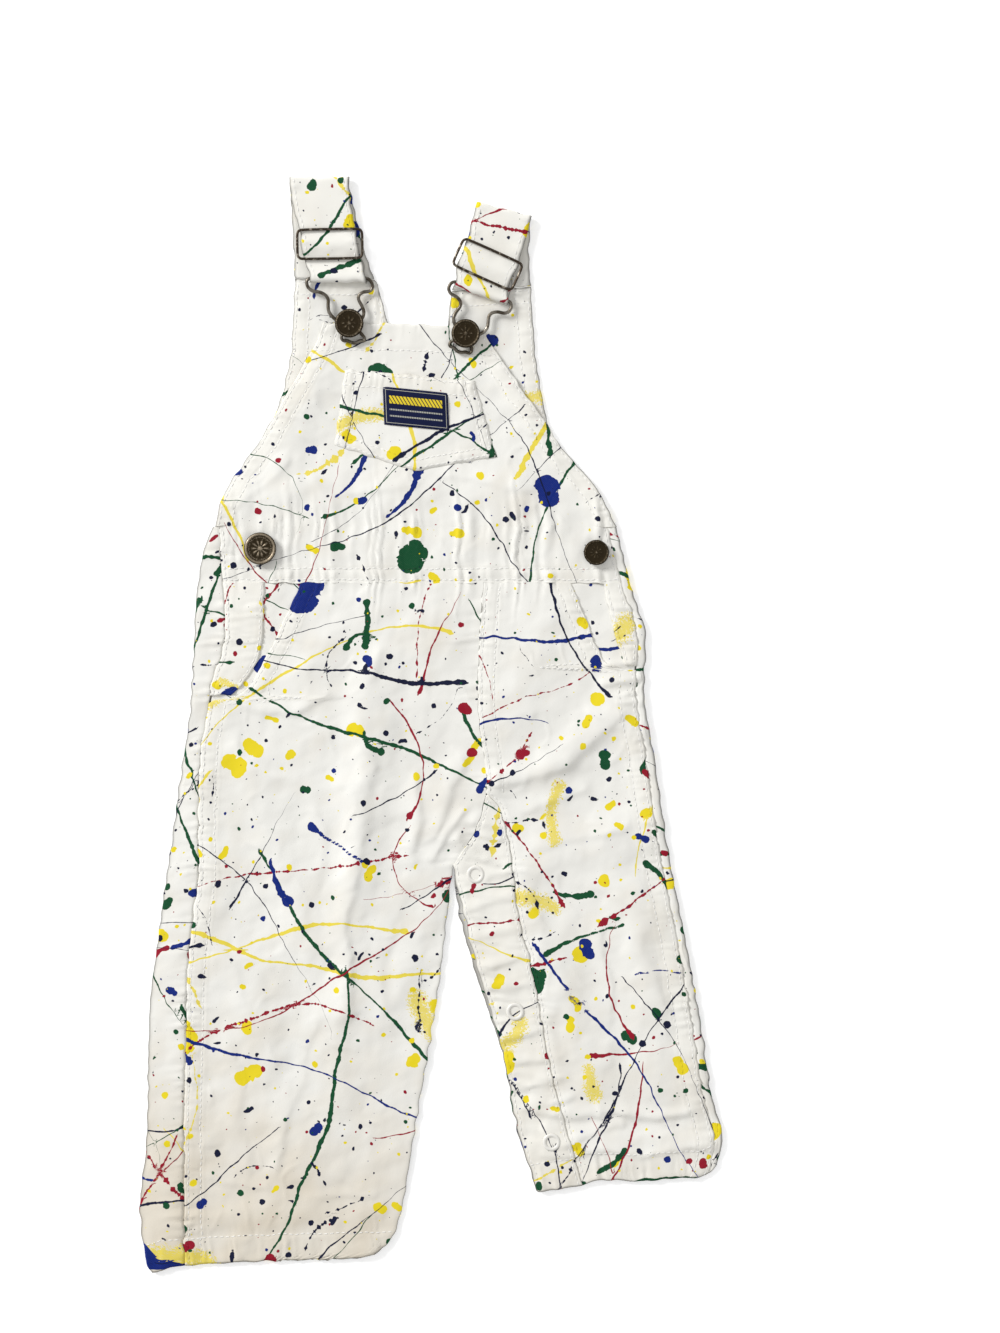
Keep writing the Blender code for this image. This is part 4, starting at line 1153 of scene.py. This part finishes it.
# %% Wires
wire_finish = Finish("antique_steel", roughness=0.34, metallic=1.0)
worn = ((wire_finish.noise(0.25, 3.0) - 0.45) * 4.0).clamped()
wire_finish.set("Base Color", wire_finish.mixed(worn, (0.095, 0.080, 0.060), (0.27, 0.245, 0.21)))
wire_finish.set("Roughness", 0.38 - worn * 0.1)
slider_finish = Finish("antique_brown_steel", roughness=0.4, metallic=0.9)
rubbed = ((slider_finish.noise(0.45, 3.0) - 0.54) * 8.0).clamped()
slider_finish.set("Base Color", slider_finish.mixed(rubbed, (0.052, 0.039, 0.028), (0.36, 0.32, 0.26)))


def rounded_copy(node, finish):
    """The solid's own mesh, merged, smoothed and given a finish."""
    bm = bmesh.new()
    bm.from_mesh(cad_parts[node].data)
    bmesh.ops.remove_doubles(bm, verts=bm.verts, dist=0.002 * MM)
    piece = finished(node + "_metal", bm, finish)
    piece.data.shade_smooth()
    smooth = piece.modifiers.new("round", "SUBSURF")
    smooth.levels = smooth.render_levels = 1
    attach(piece, "root")
    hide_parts(node)


for side in STRAPS:
    rounded_copy("buckle_" + side, wire_finish)
    rounded_copy("slider_frame_" + side, slider_finish)
    rounded_copy("slider_bar_" + side, slider_finish)

# %% Buttons
button_finish = Finish("antique_bronze", roughness=0.42, metallic=0.9)
raised = button_finish.node("ShaderNodeAttribute", {"attribute_name": "raised"}, out="Fac")
grime = button_finish.noise(1.4, 3.0)
high = (raised * 1.6 + grime * 1.5 - 0.95).clamped()
button_finish.set("Base Color", button_finish.mixed(high, (0.030, 0.021, 0.010), (0.40, 0.33, 0.24)))
button_finish.set("Roughness", 0.58 - high * 0.22)


# From the face round the rolled edge to the foot: (share of the radius, height in mm).
BUTTON_EDGE = [(0.995, -0.35), (1.0, -0.8), (0.985, -1.25), (0.92, -1.7), (0.6, -1.8), (0.3, -1.8)]
FOOT_SHARE = 0.28               # the foot's own share of the radius
FACE_RINGS, SPIN_STEPS = 30, 96
RIM_HEIGHT = 0.55               # mm


def pressed_ring(r, height, at, width):
    """Height in mm of a round ridge on the face, at this share of the radius."""
    return height * math.exp(-((r - at) / width) ** 2)


def button(node, radius, rays, bright):
    """A tack button with a rolled rim, a beaded ring and a rosette of plain rays."""
    low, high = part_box(node)
    centre = ((low.x + high.x) / 2, (low.y + high.y) / 2)
    crown = high.z / MM - RIM_HEIGHT
    profile = [(radius * i / FACE_RINGS, 0.0) for i in range(FACE_RINGS)]
    profile += [(radius * share, height) for share, height in BUTTON_EDGE]
    profile += [(radius * FOOT_SHARE, crown * -0.5), (0.0, crown * -0.5)]
    bm = bmesh.new()
    line = [bm.verts.new((r * MM, 0.0, z * MM)) for r, z in profile]
    for first, second in zip(line, line[1:]):
        bm.edges.new((first, second))
    bmesh.ops.spin(bm, geom=bm.verts[:] + bm.edges[:], axis=(0, 0, 1), cent=(0, 0, 0),
                   angle=math.tau, steps=SPIN_STEPS, use_merge=True, use_duplicate=False)
    bmesh.ops.remove_doubles(bm, verts=bm.verts, dist=0.001 * MM)
    bmesh.ops.recalc_face_normals(bm, faces=bm.faces)
    press = []
    for vertex in bm.verts:
        r, turn = vertex.co.xy.length / MM / radius, math.atan2(vertex.co.y, vertex.co.x)
        rim = pressed_ring(r, RIM_HEIGHT, 0.88, 0.075)
        bead = pressed_ring(r, 0.20, 0.70, 0.05) * (0.55 + 0.45 * math.cos(rays * 4 * turn))
        ray = pressed_ring(r, 0.26, 0.36, 0.17) * (0.5 + 0.5 * math.cos(rays * turn)) ** 2
        boss = pressed_ring(r, 0.34, 0.0, 0.13)
        lift = (rim + bead + ray + boss) if vertex.co.z > -0.1 * MM else 0.0
        press.append(bright * min(1.0, (lift - 0.5 * rim) / 0.40) - 0.3 * (1 - bright))
        vertex.co.z += lift * MM
    bm.verts.index_update()
    piece = finished(node + "_metal", bm, button_finish)
    piece.data.attributes.new("raised", "FLOAT", "POINT").data.foreach_set("value", press)
    piece.data.transform(Matrix.Translation((*centre, crown * MM)))
    piece.data.shade_smooth()
    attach(piece, "root")
    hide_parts(node)
    print(node, "face", round(2 * radius, 1), "mm")


for side, radius, bright in (("left", 8.5, 1.0), ("right", 6.7, 0.5)):      # the hip buttons differ
    button("bib_button_" + side, 7.6, 8, 0.6)
    button("hip_button_" + side, radius, 10, bright)

# %% Snap rings
enamel = Finish("white_enamel", roughness=0.3)
enamel.set("Base Color", enamel.mixed(enamel.noise(0.8), (0.78, 0.765, 0.72), (0.72, 0.70, 0.65)))
for place in SNAPS:
    rounded_copy("snap_ring_" + place, enamel)

# %% [markdown]
# ## Throwing the paint
#
# Paint thrown from a brush lands as drawn-out threads, beaded trails, round blots and, where a
# sponge touches, broken dabs.  A mark here is a path with a half width that swells at its head.
# Placing hundreds by hand would be slow, so a seeded loop throws them piece by piece.  They break
# off where a piece turns under at a seam.  Only the bib and the waistband lie flat side by side, so
# they share their marks.

# %% What is thrown
THROWS = [
    # colour, marks on a dm2, shortest, longest, thinnest, thickest half width, head, gaps, sponging
    ("navy", 0.36, 120, 300, 0.26, 0.48, 0.6, 0.0, 0.0),
    ("navy", 0.55, 35, 110, 0.30, 0.60, 1.6, 0.0, 0.0),
    ("navy", 0.30, 60, 200, 0.60, 0.90, 1.0, 0.0, 0.0),
    ("navy", 1.40, 8, 34, 0.40, 0.80, 0.8, 0.40, 0.0),
    ("navy", 6.00, 1, 5, 0.60, 1.20, 0.0, 0.0, 0.0),
    ("green", 0.50, 120, 300, 0.60, 1.05, 0.8, 0.0, 0.0),
    ("green", 0.70, 35, 120, 0.30, 0.60, 1.8, 0.0, 0.0),
    ("green", 1.10, 14, 60, 0.85, 1.40, 0.8, 0.0, 0.0),
    ("blue", 0.24, 60, 190, 0.60, 1.00, 1.2, 0.0, 0.0),
    ("blue", 0.40, 10, 40, 0.90, 1.40, 1.2, 0.0, 0.0),
    ("red", 0.15, 110, 280, 0.40, 0.70, 0.6, 0.0, 0.0),
    ("red", 0.25, 25, 80, 0.40, 0.65, 1.8, 0.0, 0.0),
    ("red", 0.28, 40, 150, 0.70, 1.10, 0.3, 0.34, 0.0),
    ("yellow", 0.34, 80, 260, 0.60, 1.10, 0.4, 0.0, 0.2),
    ("yellow", 0.55, 25, 90, 0.75, 1.35, 0.3, 0.30, 0.3),
    ("yellow", 4.00, 1, 5, 1.3, 2.6, 0.0, 0.0, 0.0),
    ("yellow", 0.80, 1, 8, 2.6, 4.6, 0.0, 0.0, 0.0),
    ("green", 1.60, 1, 6, 1.3, 2.5, 0.0, 0.0, 0.0),
    ("blue", 1.20, 1, 6, 1.5, 3.0, 0.0, 0.0, 0.0),
    ("red", 0.70, 1, 5, 1.2, 2.1, 0.0, 0.0, 0.0),
    ("yellow", 0.50, 12, 34, 3.0, 5.8, 0.0, 0.0, 0.5),
    ("blue", 0.22, 8, 26, 2.6, 4.2, 0.0, 0.0, 0.66),
    ("blue", 0.22, 3, 12, 4.0, 6.4, 0.0, 0.0, 0.0),
    ("green", 0.30, 3, 10, 4.0, 6.4, 0.0, 0.0, 0.0),
    ("red", 0.26, 80, 240, 0.60, 1.00, 0.9, 0.24, 0.0),
    ("red", 0.36, 1, 7, 1.8, 3.0, 0.0, 0.0, 0.0),
]
SQUARE_DM = 10000.0     # mm2
MARGIN = 0.3            # share of a mark's length: some marks come in from beyond the piece
PATH_STEP = 2.5         # mm
TURNING = 0.9           # radians, how far a typical mark turns from end to end
SWAY = 0.14             # radians, how far it sways on the way
HEAD_LENGTH = 3.5       # mm, over which a mark's head narrows
TAIL = 0.5              # how much a line has narrowed at its end
SURGE = 0.35            # how much a mark swells and thins as it goes
BROAD, BLOT_LENGTH = 1.4, 6.0   # mm, a thicker or shorter mark is a blot and not a line
FAR = 9.0               # mm, what a point keeps where no mark is near
SEARCH = 4.0            # mm, how far from a mark's edge the points look for it
MARK_SHIFT = 37.0       # mm, so that no two marks bead alike
GRID_SLACK = 1.0        # mm, how much the distance to a thin line may be off between points


def flight(random, middle, length):
    """The path of thrown paint, which bends evenly and sways a little, and the length at each point."""
    at = np.linspace(0.0, length, max(2, round(length / PATH_STEP) + 1))
    heading = random.uniform(0, math.tau) + random.normal(0, TURNING) * at / length
    heading += SWAY * np.sin(at / random.uniform(8, 22) + random.uniform(0, math.tau))
    step = np.diff(at, prepend=0.0)
    path = np.stack([np.cumsum(step * np.cos(heading)), np.cumsum(step * np.sin(heading))], axis=-1)
    return path - path.mean(axis=0) + middle, at


def thrown(random, low, high):
    """For each colour, its marks between these corners: path, half widths, gap, sponge, is it a line."""
    marks = {name: [] for name in PAINTS}
    for colour, rate, short, long, thin, thick, head, gap, sponge in THROWS:
        margin = MARGIN * long
        area = float(np.prod(high - low + 2 * margin)) / SQUARE_DM
        for _ in range(random.poisson(rate * area)):
            length = random.uniform(short, long)
            path, at = flight(random, random.uniform(low - margin, high + margin), length)
            width = random.uniform(thin, thick) * (1 + head * np.exp(-at / HEAD_LENGTH))
            width *= 1 - TAIL * (at / length) ** 2 * (thick < BROAD)
            width *= 1 + SURGE * np.sin(at / random.uniform(9, 30) + random.uniform(0, math.tau))
            marks[colour].append((path, width, gap, sponge, thick < BROAD and long > BLOT_LENGTH))
    return marks


def kept(lay, marks):
    """What each point keeps of one colour: offset, distance, half width; then place, gap, sponging."""
    x, y = lay[..., 0].ravel(), lay[..., 1].ravel()
    reach, trail = np.full((len(x), 3), FAR), np.zeros((len(x), 3))
    reach[:, 2] = 0.0
    best = np.full(len(x), FAR)
    for number, (path, width, gap, sponge, line) in enumerate(marks):
        along = MARK_SHIFT * number
        for (ax, ay), (bx, by), start, end in zip(path, path[1:], width, width[1:]):
            room = max(start, end) + SEARCH
            near = np.flatnonzero((x > min(ax, bx) - room) & (x < max(ax, bx) + room)
                                  & (y > min(ay, by) - room) & (y < max(ay, by) + room))
            length = math.hypot(bx - ax, by - ay)
            px, py, ux, uy = x[near] - ax, y[near] - ay, bx - ax, by - ay
            share = np.clip((px * ux + py * uy) / length ** 2, 0, 1)
            distance = np.hypot(px - share * ux, py - share * uy)
            half = start + (end - start) * share
            closer = distance - half < best[near]
            near, share, distance, half = near[closer], share[closer], distance[closer], half[closer]
            best[near] = distance - half
            hand = np.where(ux * py[closer] - uy * px[closer] < 0, -1.0, 1.0)   # which side it is on
            reach[near, 0] = hand * distance if line else distance
            reach[near, 1] = distance - GRID_SLACK * line
            reach[near, 2] = half
            trail[near] = np.stack([along + share * length, 0 * share + gap, 0 * share + sponge], axis=-1)
            along += length
    return reach, trail


# %% Throw on every piece
def store(mesh, name, values):
    """Stores three numbers for each point of a mesh."""
    mesh.attributes.new(name, "FLOAT_VECTOR", "POINT").data.foreach_set("vector", values.ravel())


def keep(made, name, values):
    """The same for a grid, put in the order of its mesh."""
    row, column = made["order"]
    store(made["piece"].data, name, values.reshape(*made["points"].shape[:2], 3)[row, column])


def spatter(put, lay, number, marks):
    """Stores the lay and the marks of every colour through `put`, which is `store` or `keep`."""
    put("lay", np.concatenate([lay + PIECE_SHIFT * number, 0 * lay[..., :1]], axis=-1))
    for colour in PAINTS:
        reach, trail = kept(lay, marks[colour])
        put(colour + "_reach", reach)
        put(colour + "_trail", trail)


def yellowing_and_painted_shade(x, y):
    """How far the cloth is made warmer and darker: down the legs, and most at the left hem.
    It is partly yellowing from wear and partly painted shade, and a painted shadow at the left hem.
    """
    hem, shin = ease(-165, -290, y + 0.3 * (x + 60)), ease(-20, -230, y)
    return np.clip(0.7 * hem + 0.16 * shin + 0.14 * rumple(x, y) + 0.10 * ruck(y, x), 0.0, 1.0)


# Painted shade darkens the cloth where it ends or turns under, all round the garment.  Each row: the
# side of the grid, and between which levels if not all along.
ARMHOLES = (0, 150)             # levels between which the bib's own sides are outermost
OUTER_SIDES = {
    "back_leg_left": [("left", BELOW_LEGS, CROTCH), ("bottom",)],
    "back_leg_right": [("right", BELOW_LEGS, CROTCH), ("bottom",)],
    "front_leg_left": [("right", BELOW_LEGS, CROTCH), ("bottom",)],
    "front_leg_right": [("bottom",)],
    "inseam_placket": [("left", BELOW_LEGS, CROTCH), ("bottom",)],
    "bib_front": [("left", *ARMHOLES), ("right", *ARMHOLES)],
    "back_bib": [("left",), ("right",), ("top",)],
    "strap_left": [("left",), ("right",)],
    "strap_right": [("left",), ("right",)],
}
OUTERMOST = {"back_leg_left": np.min, "back_leg_right": np.max}     # where the backs roll over
EDGE_SHADE_WIDTH, FOLD_SHADE_WIDTH = 0.6, 1.2      # mm, along an edge and along the rolled fold


def painted_edge_shade(node, points):
    """How much painted shade each point has at the edges and the rolled folds, from 0 to 1."""
    share = np.zeros(points.shape[:2])
    for side, *span in OUTER_SIDES.get(node, ()):
        away, along = from_side(points, side)
        share = np.maximum(share, np.exp(-(away / EDGE_SHADE_WIDTH) ** 2) * within(span, along))
    if node in OUTERMOST:
        x = points[..., 0]
        away = x - OUTERMOST[node](x, axis=1, keepdims=True)
        share = np.maximum(share, np.exp(-(away / FOLD_SHADE_WIDTH) ** 2))
    return share


PIECE_SHIFT = 400.0     # mm, so that two pieces never share the same drops
RUNS_ON = {"waistband_front": "bib_front"}      # paint crosses the gathered seam between these two
spattered = {}
for node in cloths:
    spattered.setdefault(RUNS_ON.get(node, node), []).append(node)
spattered["bib_label"] = []             # the label was sewn on later, over the paint
count = 0
for number, nodes in enumerate(spattered.values()):
    if not nodes:
        continue
    low = np.min([cloths[node]["lay"].min(axis=(0, 1)) for node in nodes], axis=0)
    high = np.max([cloths[node]["lay"].max(axis=(0, 1)) for node in nodes], axis=0)
    marks = thrown(np.random.default_rng(100 + number), low, high)
    count += sum(len(found) for found in marks.values())
    for node in nodes:
        made = cloths[node]
        made.update(number=number, marks=marks)
        x, y = made["points"][..., 0], made["points"][..., 1]
        # the doubled cloth, then yellowing with painted shade, then painted shade at the edges
        plies_and_painted_shade = [made["double"], yellowing_and_painted_shade(x, y), painted_edge_shade(node, made["points"])]
        keep(made, "plies_and_painted_shade", np.stack(plies_and_painted_shade, axis=-1))
        spatter(lambda name, values: keep(made, name, values), made["lay"], number, marks)
label = cloths["bib_label"]
keep(label, "lay", np.concatenate([label["lay"], 0 * label["lay"][..., :1]], axis=-1))
print("marks thrown:", count)

# %% [markdown]
# ## Stitches
#
# Each row of stitching is a line of short thread humps that dip into the cloth at both ends.  A
# line could be one long bevelled curve, but separate low humps catch the light as thread does.
# The row is found on the grid of its piece, a fixed distance in from the sewn side.  The cloth was
# spattered after it was sewn, so each hump keeps its place on the cut and takes the same marks.

# %% Rows of thread
THREAD_PITCH, THREAD_LENGTH, THREAD_RADIUS = 3.1, 2.5, 0.24     # mm
FIRST_STITCH = 0.4              # mm, from the end of the row
THREAD_ROUND, THREAD_RINGS = 6, 4
# How far thread stands out of the cloth, and the lowest level that has any, in mm.
CLOTH_THREAD, STRAP_THREAD = (0.04, 0.5), (0.55, 3.2)


def thread(name, light, dark):
    """Twisted cotton thread."""
    finish = Finish(name, roughness=0.75, specular=0.3)
    finish.weave = finish.node("ShaderNodeTexWave", {"bands_direction": "DIAGONAL"},
                               {"Vector": finish.place, "Scale": 1.4, "Distortion": 0.5})
    finish.white = finish.mixed(finish.weave * 0.5, light, dark)
    return finish


white_thread = painted(thread("white_thread", (0.90, 0.895, 0.88), (0.78, 0.77, 0.74)))
navy_thread = thread("navy_thread", (0.010, 0.014, 0.060), (0.005, 0.007, 0.035))
navy_thread.set("Base Color", navy_thread.white)


def row_of_thread(points, side, inset):
    """The line that runs this far in from a side of a grid, and each point's place along the side."""
    away, along = from_side(points, side)
    if side in ("top", "bottom"):
        away, along, points = away.T, along.T, points.transpose(1, 0, 2)
    if side in ("right", "top"):
        away, along, points = away[:, ::-1], along[:, ::-1], points[:, ::-1]
    line, place = [], []
    for gaps, where, run in zip(away, along, points):
        i = int(np.argmax(gaps > inset))
        if i:
            share = (inset - gaps[i - 1]) / (gaps[i] - gaps[i - 1])
            line.append(run[i - 1] + (run[i] - run[i - 1]) * share)
            place.append(where[i - 1])
    return np.array(line), np.array(place)


bm = bmesh.new()
bmesh.ops.create_uvsphere(bm, u_segments=THREAD_ROUND, v_segments=THREAD_RINGS, radius=1.0)
hump = bpy.data.meshes.new("thread_hump")
bm.to_mesh(hump)
bm.free()
# How far along the hump each of its points is, from 0 to 1.
HUMP_SHARE = np.array([(1 + vertex.co.x) / 2 for vertex in hump.vertices])[None, :, None]


def stitched(node, made, finish, lift, lowest):
    """Makes all the stitches on one piece, from copies of one hump, and says how many."""
    bm = bmesh.new()
    sheet = np.concatenate([made["points"], made["lay"]], axis=-1)
    laid = []
    for side, kind, *span in made["edges"]:
        for inset in SEWN[kind]["rows"]:
            line, place = row_of_thread(sheet, side, inset)
            steps = np.linalg.norm(np.diff(line[:, :3], axis=0), axis=1)
            run = np.concatenate([[0.0], np.cumsum(steps)])
            for start in np.arange(FIRST_STITCH, run[-1] - THREAD_LENGTH, THREAD_PITCH):
                ends = [[np.interp(at, run, line[:, i]) for i in range(5)]
                        for at in (start, start + THREAD_LENGTH)]
                first, last = (Vector(end[:3]) for end in ends)
                middle = (first + last) / 2
                spot = np.interp(start, run, place)
                if (span and not span[0] < spot < span[1]) or middle.z < lowest:
                    continue
                laid.append([end[3:] for end in ends])      # its place on the cut
                middle.z += lift
                turn = (last - first).to_track_quat("X", "Z").to_matrix().to_4x4()
                size = Matrix.Diagonal((THREAD_LENGTH / 2, THREAD_RADIUS, THREAD_RADIUS, 1.0))
                place_it = Matrix.Scale(MM, 4) @ Matrix.Translation(middle) @ turn @ size
                hump.transform(place_it)
                bm.from_mesh(hump)
                hump.transform(place_it.inverted())
    piece = finished(node + "_stitches", bm, finish)
    if "marks" in made:
        first, last = np.array(laid).transpose(1, 0, 2)[:, :, None]
        lay = first + (last - first) * HUMP_SHARE
        spatter(lambda name, values: store(piece.data, name, values), lay, made["number"],
                made["marks"])
    piece.data.shade_smooth()
    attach(piece, "root")
    made["stitches"] = piece
    return len(laid)


# %% Sew every piece
total = 0
for node, made in cloths.items():
    if any(SEWN[edge[1]]["rows"] for edge in made["edges"]):
        total += stitched(node, made, navy_thread if node == "bib_label" else white_thread,
                          *(STRAP_THREAD if node.startswith("strap") else CLOTH_THREAD))
print("stitches sewn:", total)

# %% [markdown]
# ## Sizes of the cut pieces
#
# The size and area of each piece's flat cut are worked out here from its grid, and printed.

# %% Sizes of the cut pieces
RESTS_ON = {
    "back_leg_left": ["floor"], "back_leg_right": ["floor"], "back_bib": ["floor"],
    "front_leg_left": ["back_leg_left"], "front_leg_right": ["back_leg_right"],
    "inseam_placket": ["back_leg_right"], "waistband_front": ["back_leg_left", "back_leg_right"],
    "side_placket_left": ["hip_pocket_facing_left"], "side_placket_right": ["hip_pocket_facing_right"],
    "hip_pocket_facing_left": ["back_leg_left"], "hip_pocket_facing_right": ["back_leg_right"],
    "bib_front": ["back_bib"], "bib_pocket": ["bib_front"], "bib_label": ["bib_pocket"],
    "strap_left": ["floor", "bib_front"], "strap_right": ["floor", "bib_front"],
}


def flat_area(lay):
    """Area of a flat grid in mm2, from the diagonals of its cells."""
    one, two = lay[1:, 1:] - lay[:-1, :-1], lay[1:, :-1] - lay[:-1, 1:]
    return float(np.abs(one[..., 0] * two[..., 1] - one[..., 1] * two[..., 0]).sum() / 2)


for node, made in cloths.items():
    lay = made["lay"]
    width, length = (float(side) * MM for side in lay.max(axis=(0, 1)) - lay.min(axis=(0, 1)))
    area = min(flat_area(lay) * MM * MM, width * length)
    "label_weave" if node == "bib_label" else "twill"
    "folded" if "strap" in node else "laid"
    [cloths[name]["piece"] if name in cloths else floor for name in RESTS_ON[node]]
    [made["stitches"]] if "stitches" in made else []
    print(f"{node}: {width / MM:.0f} x {length / MM:.0f} mm, {area * 1e4:.0f} cm2")
